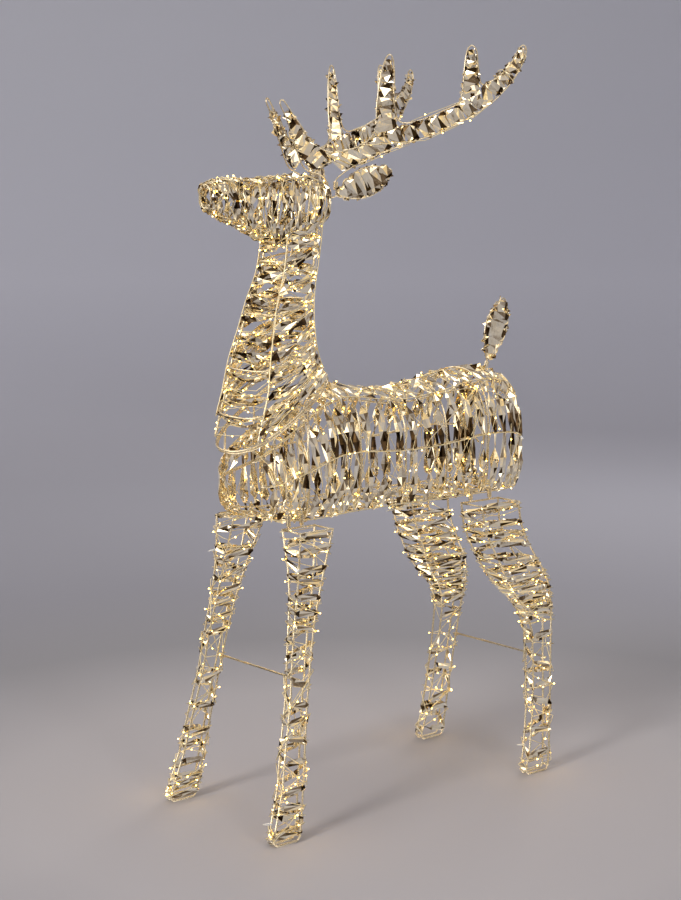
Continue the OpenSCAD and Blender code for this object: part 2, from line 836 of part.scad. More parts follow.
module rear_left_leg_ties() {
    leg_ties(REAR_LEG);
}

module rear_right_leg_frame() {
    mirror([0, 1, 0]) rear_left_leg_frame();
}

module rear_right_leg_film() {
    mirror([0, 1, 0]) rear_left_leg_film();
}

module rear_right_leg_lights() {
    mirror([0, 1, 0]) rear_left_leg_lights();
}

module rear_right_leg_ties() {
    mirror([0, 1, 0]) rear_left_leg_ties();
}

// ---------------------------------------------------------------- braces

// Rod from a bush round the right leg's wire to an open hook round the left leg's wire
module brace(S, z) {
    w = wire_at(S, z);
    back = w[0] - hook_r;
    color(gold) {
        rod([[back, -w[1] - bush_d / 2, z], [back, w[1] - hook_r, z], [back, w[1] + hook_r - 2, z],
             [w[0] - 1, w[1] + hook_r, z], [w[0] + hook_tail, w[1] + hook_r, z]], brace_d, [0, 0, 1]);
        translate([w[0], -w[1], z])
            difference() {
                cylinder(h = bush_h, d = bush_d, center = true, $fn = 32);
                cylinder(h = bush_h + 2, d = bush_bore, center = true, $fn = 32);
            }
    }
}

module front_brace() {
    brace(FRONT_LEG, front_brace_z);
}

module rear_brace() {
    brace(REAR_LEG, rear_brace_z);
}

torso_rails();
torso_hoop(0);  // torso_hoop_1
torso_hoop(1);  // torso_hoop_2
torso_hoop(2);  // torso_hoop_3
torso_hoop(3);  // torso_hoop_4
torso_hoop(4);  // torso_hoop_5
chest_hoop();
shoulder_hoop();
torso_collar_ring();
leg_sockets();
tail_socket();
splice_sleeve();
splice_cap();
lead_gland();
torso_film();
torso_lights();
torso_ties();
neck_collar_ring();
neck_rails();
neck_hoops();
head_rails();
head_hoops();
antler_sockets();
neck_film();
head_film();
neck_lights();
head_lights();
left_ear_frame();
left_ear_film();
right_ear_frame();
right_ear_film();
left_antler_frame();
left_antler_film();
left_antler_lights();
right_antler_frame();
right_antler_film();
right_antler_lights();
tail_frame();
tail_film();
front_left_leg_frame();
front_left_leg_film();
front_left_leg_lights();
front_left_leg_ties();
front_right_leg_frame();
front_right_leg_film();
front_right_leg_lights();
front_right_leg_ties();
rear_left_leg_frame();
rear_left_leg_film();
rear_left_leg_lights();
rear_left_leg_ties();
rear_right_leg_frame();
rear_right_leg_film();
rear_right_leg_lights();
rear_right_leg_ties();
front_brace();
rear_brace();
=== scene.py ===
"""A light-up yard reindeer: gold rod frames wound with mirror film ribbon and strings of lights."""

import json
import math
import random

import bmesh
import bpy
import numpy as np
from mathutils import Matrix, Vector


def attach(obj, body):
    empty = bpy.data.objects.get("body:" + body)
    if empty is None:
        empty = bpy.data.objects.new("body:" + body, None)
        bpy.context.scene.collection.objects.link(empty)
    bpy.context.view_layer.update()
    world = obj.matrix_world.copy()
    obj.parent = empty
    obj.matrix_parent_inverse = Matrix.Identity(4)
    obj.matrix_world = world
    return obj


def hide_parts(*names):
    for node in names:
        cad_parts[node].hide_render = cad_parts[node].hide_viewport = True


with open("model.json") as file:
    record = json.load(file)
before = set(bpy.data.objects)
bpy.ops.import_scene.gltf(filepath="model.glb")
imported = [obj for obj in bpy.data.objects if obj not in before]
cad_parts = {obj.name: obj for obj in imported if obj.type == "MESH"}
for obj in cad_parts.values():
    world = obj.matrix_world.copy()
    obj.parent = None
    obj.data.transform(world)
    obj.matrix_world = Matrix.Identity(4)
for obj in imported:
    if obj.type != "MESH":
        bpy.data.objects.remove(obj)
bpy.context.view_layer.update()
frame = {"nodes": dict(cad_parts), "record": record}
rng = random.Random(20)

# ------------------------------------------------------------------ sizes, as in the CAD, millimetres
MM = 0.001
ROD_R = 2.0
THIN_ROD_R = 1.5
# Radii of the welds where two rods cross
BODY_WELD_R = 2.7
HEAD_WELD_R = 2.6
LEG_WELD_R = 2.5
COLLAR_WELD_R = 2.8
PIN_WELD_R = 2.2
FILM_W = 14.0
FILM_THICK = 0.12
WIRE_R = 0.75
LEAD_R = 1.1
BEAD_R = 1.6
# Spacing of the points along a smooth path, and of the points of a light wire
PATH_STEP = 5.0
WIRE_STEP = 13
# How far the rails, the film, the strings and the lead wires lie from the middle of the hoops' rod
RAIL_INSET = -3.8
FILM_OUT = 2.8
THIN_FILM_OUT = 0.2
LIGHT_OUT = 4.0
ANTLER_LIGHT_OUT = 3.4
STAR_OUT = 5.0
TORSO_LEAD_OUT = 4.6
NECK_LEAD_OUT = 4.4
# No film span of a leg comes closer than this to the end of a brace
BRACE_ROOM = 19.0

# Rows: [top or rear x, z, bottom or front x, z, half width, middle y]
TORSO = [
    [-376, 745, -366, 600, 60, 0],
    [-356, 812, -354, 593, 80, 0],
    [-325, 842, -325, 590, 88, 0],
    [-240, 850, -240, 589, 94, 0],
    [-130, 831, -130, 590, 97, 0],
    [-20, 822, -20, 592, 97, 0],
    [96, 838, 96, 590, 95, 0],
    [150, 832, 150, 587, 92, 0],
    [220, 786, 220, 587, 89, 0],
    [296, 736, 296, 598, 84, 0],
    [330, 714, 308, 606, 50, 0],
]
TORSO_ROUND = (2.4, 5)
TORSO_RAILS = [35, 90, 142, 180, 218, 270, 325]
TORSO_LEADS = [35, 90, 142, 218, 270, 325]
TORSO_HOOPS = [1.2, 2.9, 4, 5, 6]
TORSO_RAIL_ROWS = (0.15, 9.6)
TORSO_FILM_ROWS = (0.35, 9.4)
TORSO_LIGHT_ROWS = (0.4, 9.3)
TORSO_LEAD_ROWS = (0.35, 9.3)
# The rails that the painted fold shade starts from, and the station where it ends
PAINTED_SHADE_RAILS = (90, 270)
PAINTED_SHADE_END = 7.2
# Station and angle of the star of light wires at the hip, how far its wires reach from there, and
# the number and scatter of the beads at its middle
HIP_STAR = (3.1, 132)
HIP_SPOKES = [(0.9, 8), (0.75, -30), (0.35, -52), (-0.1, -48), (-0.5, -40), (-0.9, -16), (-0.8, 14),
              (0.5, 34), (1.7, -46)]
STAR_BEADS, STAR_SPREAD = 4, 4
CHEST_ROW = 9
SHOULDER_ROW = 8

COLLAR_BACK = (131, 866)
COLLAR_FRONT = (346, 724)
COLLAR_HALF_W = 86
COLLAR_ROUND = 2.5
COLLAR_ROUNDS = (COLLAR_ROUND, COLLAR_ROUND)
RING_LIFT = 5.22
# Collar pins: radius, distance in from the ring, and their ends along the collar's normal
PIN_R = 1.7
PIN_INSET = -4.4
PIN_TOP, PIN_FOOT = 2, -13.6

NECK_UPPER = [
    [160, 890, 332, 780, 86, 0],
    [174, 915, 314, 834, 84, 0],
    [178, 947, 303, 890, 77, 0],
    [175, 985, 286, 950, 65, 0],
    [168, 1030, 270, 1006, 56, 0],
    [155, 1080, 249, 1062, 49, 0],
    [145, 1130, 240, 1112, 46, 0],
    [138, 1180, 236, 1146, 42, 0],
]
NECK_ROUND = (3.5, 3.5)
NECK_RAILS = [45, 135, 225, 315]
NECK_FILM_RAILS = [45, 90, 135, 225, 270, 315]
NECK_LIGHT_RAILS = [20, 68, 112, 160, 200, 248, 292, 340]
NECK_HOOPS = [1.2, 2.8, 4.6, 6.4, 7.8]
NECK_RAIL_ROWS = (0.12, 8)
NECK_FILM_ROWS = (0.55, 7.6)
NECK_LIGHT_ROWS = (0.5, 7.6)
NECK_LEAD_ROWS = (0.95, 7.7)

HEAD = [
    [118, 1226, 128, 1162, 38, 0],
    [150, 1241, 165, 1132, 45, 0],
    [205, 1244, 225, 1114, 45, 0],
    [262, 1239, 272, 1129, 39, 0],
    [315, 1238, 318, 1150, 31, 0],
    [365, 1237, 362, 1171, 24, 0],
    [396, 1228, 392, 1186, 16, 0],
]
HEAD_ROUND = (3, 3)
HEAD_RAILS = [40, 140, 220, 320, 0, 180]
HEAD_WINDING = [0, 40, 90, 140, 180, 220, 270, 320]
HEAD_HOOPS = [0.2, 1.5, 3, 4.5, 5.9]
HEAD_RAIL_ROWS = (0, 6)
HEAD_WINDING_ROWS = (0.3, 5.9)

FRONT_LEG = [
    [199, 579, 277, 579, 28, 106],
    [217, 510, 280, 510, 17, 115],
    [233, 450, 286, 450, 11, 122],
    [247, 400, 295, 400, 9, 127],
    [260, 340, 305, 340, 8, 134],
    [275, 260, 316, 260, 8, 142],
    [288, 180, 334, 180, 8, 151],
    [300, 100, 350, 100, 8, 160],
    [309, 40, 369, 40, 8, 166],
    [315, 10, 378, 10, 8, 169],
]
REAR_LEG = [
    [-295, 579, -190, 579, 30, 108],
    [-299, 535, -197, 535, 32, 110],
    [-312, 500, -210, 500, 33, 113],
    [-338, 455, -234, 455, 33, 118],
    [-367, 420, -253, 420, 27, 123],
    [-381, 390, -278, 390, 20, 127],
    [-388, 360, -307, 360, 15, 130],
    [-389, 335, -319, 335, 13, 134],
    [-384, 300, -328, 300, 12, 139],
    [-377, 220, -326, 220, 11, 147],
    [-370, 140, -319, 140, 10, 155],
    [-364, 60, -307, 60, 9, 161],
    [-360, 10, -295, 10, 8, 164],
]
# Nearly square corners, for the legs and for the flat ears, tail and antlers
LEG_ROUND = (60, 60)
CORNERS = [45, 135, 225, 315]
FOOT_BEND = 6
FOOT_CORNER_R = 5
CUT_SHARE = 0.45  # the most of a line that rounding its end takes
ALMOST_STRAIGHT = -0.995  # cosine between the two directions that leave a point
FRONT_RUNGS = [0, 2, 5, 7, 9]
REAR_RUNGS = [0, 3, 6, 10, 12]
FRONT_POSTS = [232, 264]
REAR_POSTS = [-268, -214]
POST_Y = 80
POST_TOP = 609
LEG_TOP = 579
BRACE_HINGES = {j["name"]: np.array(j["pos_m"]) * (1, -1, 1) / MM
                for j in frame["record"]["behaviour"]["joints"] if j["name"].endswith("_swing")}

ANTLER = [
    [-28, 6], [-62, 20], [-80, 62], [-96, 110], [-110, 140], [-104, 147], [-88, 126],
    [-66, 96], [-46, 68], [-8, 50], [40, 58], [72, 76], [84, 100], [86, 140], [94, 196],
    [104, 228], [112, 236], [119, 227], [122, 196], [122, 140], [136, 108], [178, 113],
    [222, 130], [256, 146], [265, 168], [268, 206], [274, 246], [284, 257], [294, 247],
    [298, 216], [305, 184], [324, 188], [348, 204], [370, 227], [384, 252], [394, 260],
    [401, 252], [394, 226], [372, 191], [338, 156], [298, 128], [222, 91], [150, 68],
    [84, 44], [36, 22], [6, 2],
]
ANTLER_BASE = (116, 40, 1240)
ANTLER_TURN = 160
# The right antler is turned a little more than the left one, leans out and droops
RIGHT_ANTLER_TURN, RIGHT_ANTLER_LEAN, RIGHT_ANTLER_DROOP = 166, 10, 4
ANTLER_POSTS = [-18, 2]
ANTLER_POST_LEN = 22
ANTLER_LIGHT_ROWS = (0.2, 5.6)

EAR = {"length": 116, "half_width": 27, "post": 12}
EAR_BASE = (118, 50, 1208)
EAR_TURN = 150
EAR_RISE = 24
TAIL = {"length": 136, "half_width": 31, "post": 14}
TAIL_BASE = (-336, 0, 861)
TAIL_LEAN = 20
# Widths along an ear or the tail as shares of the half width, and the part of the length they cover
LEAF = [0.16, 0.55, 0.86, 1, 0.96, 0.72, 0.3]
LEAF_FROM, LEAF_SPAN = 0.02, 0.93
LEAF_HALF_THICK = 1.6
LEAF_FILM_ROWS = (0.1, 5.8)
# How film is wound on the flat shapes: no turning over, small creases, each turn slanting up
FLAT_WINDING = {"flip": 0.0, "lean": 0.2, "pinch": 0.6, "roll": 4, "slant": 0.42, "crease": 0.03}

# ------------------------------------------------------------------ how film and lights are wound
# Film spans: how far they follow the body's round shape, where they turn over and for how long as
# shares of the span, their unevenness in mm and degrees, and how often a span at a fold rail gets
# painted shade
SPAN_BOW = 0.55
TURN_START, TURN_LENGTH = 0.55, 0.45
SPAN_ROUGH = 0.5
TWIST_ROUGH = 6
PAINTED_SHADE_RAIL_CHANCE = 0.92
# How fast a span gets wide away from a rail, and its uneven width
WIDENING = 2.2
WIDTH_ROUGH = (0.92, 1.05)
# Light wires: how far they sag to the side and stand off
WIRE_SAG = 2.5
WIRE_OFF = 1.2
# Beads: how far they stand off the wire, their uneven size and spacing, the share of places that
# have one, and how bright they are
BEAD_LIFT = 1.4
BEAD_SIZES = (0.85, 1.15)
BEAD_SPACING = (0.8, 1.2)
BEAD_CHANCE = 1.0
BEAD_GLOW = 11.0


# ------------------------------------------------------------------ section maths
def edge_pow(c, n):
    """Cosine or sine of a rounded box, whose corners get squarer as n grows."""
    return math.copysign(abs(c) ** (2 / n), c)


def curve_point(a, b, c, d, t):
    """Point between b and c of the smooth curve through a, b, c and d."""
    return 0.5 * (
        2 * b + (c - a) * t + (2 * a - 5 * b + 4 * c - d) * t * t + (3 * b - a - 3 * c + d) * t**3
    )


def row_at(rows, u):
    """Row at station u on a smooth curve through the rows."""
    i = min(max(int(math.floor(u)), 0), len(rows) - 2)
    t = u - i
    nearby = (min(max(k, 0), len(rows) - 1) for k in (i - 1, i, i + 1, i + 2))
    return curve_point(*(np.array(rows[k], float) for k in nearby), t)


def section_point(row, angle, out, rounds):
    """Point of a section; angle 0 is its bottom or front end and 180 its top or rear end."""
    a, b = np.array(row[0:2], float), np.array(row[2:4], float)
    c, half = (a + b) / 2, np.linalg.norm(b - a) / 2
    e = (b - a) / (2 * half)
    co, si = math.cos(math.radians(angle)), math.sin(math.radians(angle))
    n = rounds[1] if co > 0 else rounds[0]
    f = (half + out) * edge_pow(co, n)
    g = (row[4] + out) * edge_pow(si, n)
    return np.array([c[0] + e[0] * f, row[5] + g, c[1] + e[1] * f])


COLLAR_DIR = np.array(COLLAR_FRONT, float) - np.array(COLLAR_BACK, float)
COLLAR_DIR /= np.linalg.norm(COLLAR_DIR)
COLLAR_UP = np.array([-COLLAR_DIR[1], COLLAR_DIR[0]])
COLLAR_NORMAL = np.array([COLLAR_UP[0], 0, COLLAR_UP[1]])


def collar_row(lift):
    """Section row in the plane of the collar, lifted along its normal."""
    b = np.array(COLLAR_BACK) + lift * COLLAR_UP
    f = np.array(COLLAR_FRONT) + lift * COLLAR_UP
    return [b[0], b[1], f[0], f[1], COLLAR_HALF_W, 0]


NECK = [collar_row(RING_LIFT)] + NECK_UPPER


# ------------------------------------------------------------------ mesh building
class Mesh:
    """Gathers points, faces and material numbers for one piece."""

    def __init__(self):
        self.points, self.faces, self.materials, self.smooth = [], [], [], []

    def add(self, points, faces, material=0, smooth=True):
        base = len(self.points)
        self.points += [tuple(p) for p in points]
        self.faces += [tuple(base + i for i in f) for f in faces]
        self.materials += [material] * len(faces)
        self.smooth += [smooth] * len(faces)

    def piece(self, name, materials, body, replaces, mirror=False, place=None):
        """Makes the object that stands for the CAD nodes in replaces, and rides on body."""
        pts = np.array(self.points, float)
        if place is not None:
            pts = np.array([place(p) for p in pts])
        if mirror:
            pts[:, 1] *= -1
        faces = [f[::-1] for f in self.faces] if mirror else self.faces
        mesh = bpy.data.meshes.new(name)
        mesh.from_pydata((pts * MM).tolist(), [], faces)
        mesh.polygons.foreach_set("material_index", self.materials)
        mesh.polygons.foreach_set("use_smooth", self.smooth)
        mesh.update()
        for m in materials:
            mesh.materials.append(m)
        obj = bpy.data.objects.new(name, mesh)
        bpy.context.scene.collection.objects.link(obj)
        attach(obj, body)
        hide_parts(*replaces)


def unit(v):
    """The vector at a length of 1."""
    return v / max(np.linalg.norm(v), 1e-9)


def smooth_path(points):
    """Points along a smooth curve through the given points, about PATH_STEP apart."""
    pts = [np.array(p, float) for p in points]
    n = len(pts)
    out = []
    for i in range(n - 1):
        a, b, c, d = pts[max(i - 1, 0)], pts[i], pts[i + 1], pts[min(i + 2, n - 1)]
        count = max(1, int(round(np.linalg.norm(c - b) / PATH_STEP)))
        out += [curve_point(a, b, c, d, k / count) for k in range(count)]
    return out + [pts[-1]]


def tube(mesh, points, radius, sides=10, closed=False):
    """Round rod along points, in the piece's first material."""
    pts = [np.array(p, float) for p in points]
    n = len(pts)
    dirs = []
    for i in range(n):
        a = pts[(i - 1) % n] if closed or i > 0 else pts[i]
        b = pts[(i + 1) % n] if closed or i < n - 1 else pts[i]
        dirs.append(unit(b - a))
    ref = np.array([0.0, 1, 0]) if abs(dirs[0][1]) < 0.8 else np.array([1.0, 0, 0])
    side = unit(np.cross(ref, dirs[0]))
    rings = []
    for p, t in zip(pts, dirs):
        side = unit(side - t * side.dot(t))
        q = np.cross(t, side)
        rings += [p + radius * (math.cos(a) * side + math.sin(a) * q)
                  for a in (2 * math.pi * j / sides for j in range(sides))]
    faces = []
    for i in range(n if closed else n - 1):
        i2 = (i + 1) % n
        shift = 0
        if closed and i2 == 0:
            # the last ring may have turned against the first, so its corners are matched up
            first = np.array(rings[0]) - pts[0]
            q = np.cross(dirs[0], side)
            angle = math.atan2(first.dot(q), first.dot(side))
            shift = int(round(-angle / (2 * math.pi) * sides))
        faces += [(i * sides + j, i * sides + (j + 1) % sides,
                   i2 * sides + (j + 1 + shift) % sides, i2 * sides + (j + shift) % sides)
                  for j in range(sides)]
    if not closed:
        faces.append(tuple(range(sides))[::-1])
        faces.append(tuple((n - 1) * sides + j for j in range(sides)))
    mesh.add(rings, faces)


ICO = {}


def blob(mesh, p, radius, stretch=(1, 1, 1), material=0, detail=2):
    """Small rounded lump, such as a weld."""
    if detail not in ICO:
        bm = bmesh.new()
        bmesh.ops.create_icosphere(bm, subdivisions=detail, radius=1)
        corners = [tuple(v.co) for v in bm.verts]
        ICO[detail] = (corners, [tuple(v.index for v in f.verts) for f in bm.faces])
        bm.free()
    points, faces = ICO[detail]
    moved = [np.array(p) + radius * np.array(q) * np.array(stretch) for q in points]
    mesh.add(moved, faces, material)


def bead(mesh, p, radius):
    """Light bead, in the piece's second material."""
    blob(mesh, p, radius, material=1, detail=1)


def ribbon(mesh, spine, normals, widths, twists, painted_shade_counts, crease):
    """Film strip along spine, where each point has a normal, a width and a twist in degrees.

    The strip has a creased middle line and two skins, so it's a closed solid. Each step has four
    triangles, and a count for each step says how many of them take the second material: painted
    shade of a fold."""
    pts = [np.array(p, float) for p in spine]
    n = len(pts)
    top, bottom = [], []
    for i in range(n):
        t = unit(pts[min(i + 1, n - 1)] - pts[max(i - 1, 0)])
        nrm = np.array(normals[i], float)
        nrm = unit(nrm - t * nrm.dot(t))
        a = math.radians(twists[i])
        across = np.cross(t, nrm)
        w = math.cos(a) * across + math.sin(a) * nrm
        up = np.cross(w, t)
        half = widths[i] / 2
        mid = crease * widths[i] * (1 if i % 2 else -1)
        row = [pts[i] - w * half, pts[i] + up * mid, pts[i] + w * half]
        top += [p + up * FILM_THICK / 2 for p in row]
        bottom += [p - up * FILM_THICK / 2 for p in row]
    m = 3  # points across the strip
    plain, painted_shade_faces = [], []
    off = n * m
    for i in range(n - 1):
        for j in range(m - 1):
            a, b, c, d = i * m + j, i * m + j + 1, (i + 1) * m + j + 1, (i + 1) * m + j
            halves = [(a, b, c), (a, c, d)] if (i + j) % 2 else [(a, b, d), (b, c, d)]
            for half_number, corners in enumerate(halves):
                # The first triangles of a step, as many as its count, get the painted fold shade
                faces = painted_shade_faces if 2 * j + half_number < painted_shade_counts[i] else plain
                faces += [corners, tuple(off + v for v in reversed(corners))]
        faces = painted_shade_faces if painted_shade_counts[i] else plain
        for j, flip in ((0, False), (m - 1, True)):
            a, d = i * m + j, (i + 1) * m + j
            quad = (a, d, off + d, off + a)
            faces.append(quad[::-1] if flip else quad)
    for i, flip in ((0, True), (n - 1, False)):
        row = [i * m + j for j in range(m)] + [off + i * m + j for j in reversed(range(m))]
        plain.append(tuple(row[::-1]) if flip else tuple(row))
    base = len(mesh.points)
    mesh.add(top + bottom, plain, 0, smooth=False)
    # These faces take the second material, the painted shade of a fold
    mesh.faces += [tuple(base + v for v in f) for f in painted_shade_faces]
    mesh.materials += [1] * len(painted_shade_faces)
    mesh.smooth += [False] * len(painted_shade_faces)


# ------------------------------------------------------------------ materials
def material(name):
    """New material, its node tree and its main shader."""
    m = bpy.data.materials.new(name)
    m.use_nodes = True
    t = m.node_tree
    return m, t, t.nodes["Principled BSDF"]


def node(tree, kind, **values):
    """New node with the given values on its sockets."""
    n = tree.nodes.new(kind)
    for key, value in values.items():
        n.inputs[key].default_value = value
    return n


def noise_of(tree, scale, detail=3.0):
    coords = tree.nodes.new("ShaderNodeTexCoord")
    n = node(tree, "ShaderNodeTexNoise", Scale=scale, Detail=detail, Roughness=0.55)
    tree.links.new(coords.outputs["Object"], n.inputs["Vector"])
    return n


def ramp_of(tree, source, stops):
    """Colour ramp with (position, colour) stops."""
    r = tree.nodes.new("ShaderNodeValToRGB")
    while len(r.color_ramp.elements) < len(stops):
        r.color_ramp.elements.new(0.5)
    for e, (at, colour) in zip(r.color_ramp.elements, stops):
        e.position = at
        e.color = (*colour, 1)
    tree.links.new(source, r.inputs["Fac"])
    return r


def bump_of(tree, source, strength, distance):
    """Bump as deep as distance, in metres."""
    b = node(tree, "ShaderNodeBump", Strength=strength, Distance=distance)
    tree.links.new(source, b.inputs["Height"])
    return b


def rod_material():
    """Pale gold lacquer with a fine grain."""
    m, t, s = material("gold_rod")
    s.inputs["Metallic"].default_value = 1.0
    fine = noise_of(t, 900.0)
    broad = noise_of(t, 22.0)
    colour = ramp_of(t, broad.outputs["Fac"],
                     [(0.25, (0.90, 0.76, 0.52)), (0.75, (0.98, 0.91, 0.74))])
    rough = ramp_of(t, fine.outputs["Fac"], [(0.3, (0.20,) * 3), (0.8, (0.36,) * 3)])
    bump = bump_of(t, fine.outputs["Fac"], 0.25, 0.0003)
    t.links.new(colour.outputs["Color"], s.inputs["Base Color"])
    t.links.new(rough.outputs["Color"], s.inputs["Roughness"])
    t.links.new(bump.outputs["Normal"], s.inputs["Normal"])
    return m


def film_material():
    """Champagne mirror film with fine wrinkles and a slightly cloudy coat."""
    m, t, s = material("mirror_film")
    s.inputs["Metallic"].default_value = 1.0
    wrinkle = noise_of(t, 70.0, detail=2.0)
    patch = noise_of(t, 30.0)
    colour = ramp_of(t, patch.outputs["Fac"], [(0.3, (0.97, 0.84, 0.60)), (0.7, (1.0, 0.95, 0.81))])
    rough = ramp_of(t, patch.outputs["Fac"], [(0.35, (0.02,) * 3), (0.75, (0.09,) * 3)])
    bump = bump_of(t, wrinkle.outputs["Fac"], 0.25, 0.0012)
    t.links.new(colour.outputs["Color"], s.inputs["Base Color"])
    t.links.new(rough.outputs["Color"], s.inputs["Roughness"])
    t.links.new(bump.outputs["Normal"], s.inputs["Normal"])
    return m


def plain_material(name, scale, stops, roughness, metallic=0.0, bump=None, clear=0.0):
    """Material with a cloudy colour and, where bump is given, a bump of that strength and depth."""
    m, t, s = material(name)
    n = noise_of(t, scale)
    colour = ramp_of(t, n.outputs["Fac"], stops)
    t.links.new(colour.outputs["Color"], s.inputs["Base Color"])
    if bump:
        t.links.new(bump_of(t, n.outputs["Fac"], *bump).outputs["Normal"], s.inputs["Normal"])
    s.inputs["Roughness"].default_value = roughness
    s.inputs["Metallic"].default_value = metallic
    s.inputs["Transmission Weight"].default_value = clear
    return m


def bead_material():
    """Clear resin drop lit warm from inside."""
    m, t, s = material("lamp_bead")
    n = noise_of(t, 60.0)
    glow = ramp_of(t, n.outputs["Fac"], [(0.3, (1.0, 0.60, 0.12)), (0.7, (1.0, 0.70, 0.20))])
    t.links.new(glow.outputs["Color"], s.inputs["Base Color"])
    t.links.new(glow.outputs["Color"], s.inputs["Emission Color"])
    s.inputs["Emission Strength"].default_value = BEAD_GLOW
    s.inputs["Roughness"].default_value = 0.2
    return m


GOLD_ROD = rod_material()
FILM = film_material()
# Painted shade: the film's steps where it turns over a rail are painted dark bronze for the shade of
# its own fold
FOLD_PAINTED_SHADE = plain_material("film_fold_painted_shade", 45.0,
                      [(0.35, (0.040, 0.026, 0.012)), (0.65, (0.17, 0.105, 0.050))],
                      roughness=0.12, metallic=1.0, bump=(0.2, 0.001))
WIRE = plain_material("lamp_wire", 300.0, [(0.3, (0.92, 0.74, 0.38)), (0.7, (1.0, 0.93, 0.70))],
                      roughness=0.3, metallic=0.8)
BEAD = bead_material()
TIE = plain_material("clear_tie", 400.0, [(0.3, (0.80, 0.80, 0.78)), (0.7, (0.93, 0.93, 0.90))],
                     roughness=0.25, bump=(0.2, 0.0002), clear=0.35)
FITTING = plain_material("cable_fitting", 700.0,
                         [(0.3, (0.56, 0.51, 0.42)), (0.7, (0.66, 0.61, 0.52))],
                         roughness=0.5, bump=(0.3, 0.0002))


# ------------------------------------------------------------------ winding
def gap_to(point, a, b):
    """Distance from a point to the straight line from a to b."""
    along = min(max((point - a).dot(b - a) / max((b - a).dot(b - a), 1e-9), 0), 1)
    return np.linalg.norm(point - a - along * (b - a))


def ring(row, rounds, step):
    """Points round a section, one every step degrees."""
    return [section_point(row, a, 0, rounds) for a in range(0, 360, step)]


def rail(rows, angle, rounds, u0, u1, count, inset=RAIL_INSET):
    """Points of a lengthwise rail from station u0 to u1, in count steps."""
    return [section_point(row_at(rows, u0 + (u1 - u0) * k / count), angle, inset, rounds)
            for k in range(count + 1)]


def outward(rows, u, angle, rounds):
    """Direction in which a section point moves when the section grows by 6 mm."""
    row = row_at(rows, u)
    return unit(section_point(row, angle, 6, rounds) - section_point(row, angle, 0, rounds))


def wound_film(mesh, rows, rounds, rails, u0, u1, turns, out, width, flip, lean, pinch, dark,
               gap_chance=0.0, dark_rails=(), dark_to=0.0, roll=20, piece_len=16, slant=0.0,
               crease=0.07, keep_off=None):
    """Ribbon wound round the rows between the stations u0 and u1, out mm from their outline.

    Each span from rail to rail is made of steps about piece_len mm long. It narrows to the share
    pinch at the rails, turns over with the chance flip or else rolls by up to roll degrees, and its
    end is moved along by up to lean turns at random and by slant turns on every other span. Steps
    next to a rail get painted fold shade with the chance dark, and nearly all that leave one of the
    dark_rails before the station dark_to do. Spans are left out with the chance gap_chance, and
    where they would come near the point keep_off, where a brace is hung."""
    order = sorted(rails)
    count = int(round(turns)) * len(order)
    spine, normals, widths, twists, painted_shade_counts = [], [], [], [], []
    turn_angle = 0.0
    pitch = (u1 - u0) / turns

    def flush():
        if len(spine) > 3:
            ribbon(mesh, spine, normals, widths, twists, painted_shade_counts, crease)
        for held in (spine, normals, widths, twists, painted_shade_counts):
            held.clear()

    ub = u0
    for k in range(count):
        i, turn = k % len(order), k // len(order)
        a0 = order[i] + 360 * turn
        a1 = (order[(i + 1) % len(order)] + (360 if i == len(order) - 1 else 0)) + 360 * turn
        ua = ub
        sway = 0.0 if k % 2 else slant
        ub = u0 + ((k + 1) / count) * (u1 - u0) + pitch * (lean * rng.uniform(-1, 1) + sway)
        ub = min(max(ub, u0), u1)
        if rng.random() < gap_chance:
            flush()
            continue
        turned = rng.random() < flip
        delta = (180 if rng.random() < 0.5 else -180) if turned else rng.uniform(-roll, roll)
        pa, pb = (section_point(row_at(rows, u), a, out, rounds) for u, a in ((ua, a0), (ub, a1)))
        if keep_off is not None and gap_to(keep_off, pa, pb) < BRACE_ROOM:
            flush()
            continue
        na, nb = outward(rows, ua, a0, rounds), outward(rows, ub, a1, rounds)
        steps = max(3, int(np.linalg.norm(pb - pa) / piece_len))
        # Painted shade: the last or first step of a span turns dark bronze, for the shade of its fold
        # at a rail
        painted_shade_at_end = rng.random() < dark
        sail = order[i] in dark_rails and ua < dark_to
        painted_shade_at_start = rng.random() < (PAINTED_SHADE_RAIL_CHANCE if sail else dark)
        if spine and painted_shade_at_start:
            painted_shade_counts[-1] = 4
        for s in range(1 if spine else 0, steps + 1):
            t = s / steps
            chord = pa + (pb - pa) * t
            arc = section_point(row_at(rows, ua + (ub - ua) * t), a0 + (a1 - a0) * t, out, rounds)
            # a long span follows the body's round shape part of the way
            bow = SPAN_BOW * math.sin(math.pi * t)
            spine.append(chord + (arc - chord) * bow + rng.uniform(-SPAN_ROUGH, SPAN_ROUGH) * na)
            normals.append(na + (nb - na) * t)
            near = min(t, 1 - t) * 2
            open_share = pinch + (1 - pinch) * min(1, near * WIDENING)
            widths.append(width * open_share * rng.uniform(*WIDTH_ROUGH))
            # the turn over happens in the last part of the span, where the fold is
            late = max(0.0, (t - TURN_START) / TURN_LENGTH)
            twists.append(turn_angle + delta * late * late * (3 - 2 * late)
                          + rng.uniform(-TWIST_ROUGH, TWIST_ROUGH))
            if (painted_shade_at_end and s == steps - 1) or (painted_shade_at_start and s == 0):
                painted_shade_counts.append(4)
            else:
                painted_shade_counts.append(3 if painted_shade_at_start and s == 1 and sail else 0)
        turn_angle += delta if turned else 0.0
    flush()


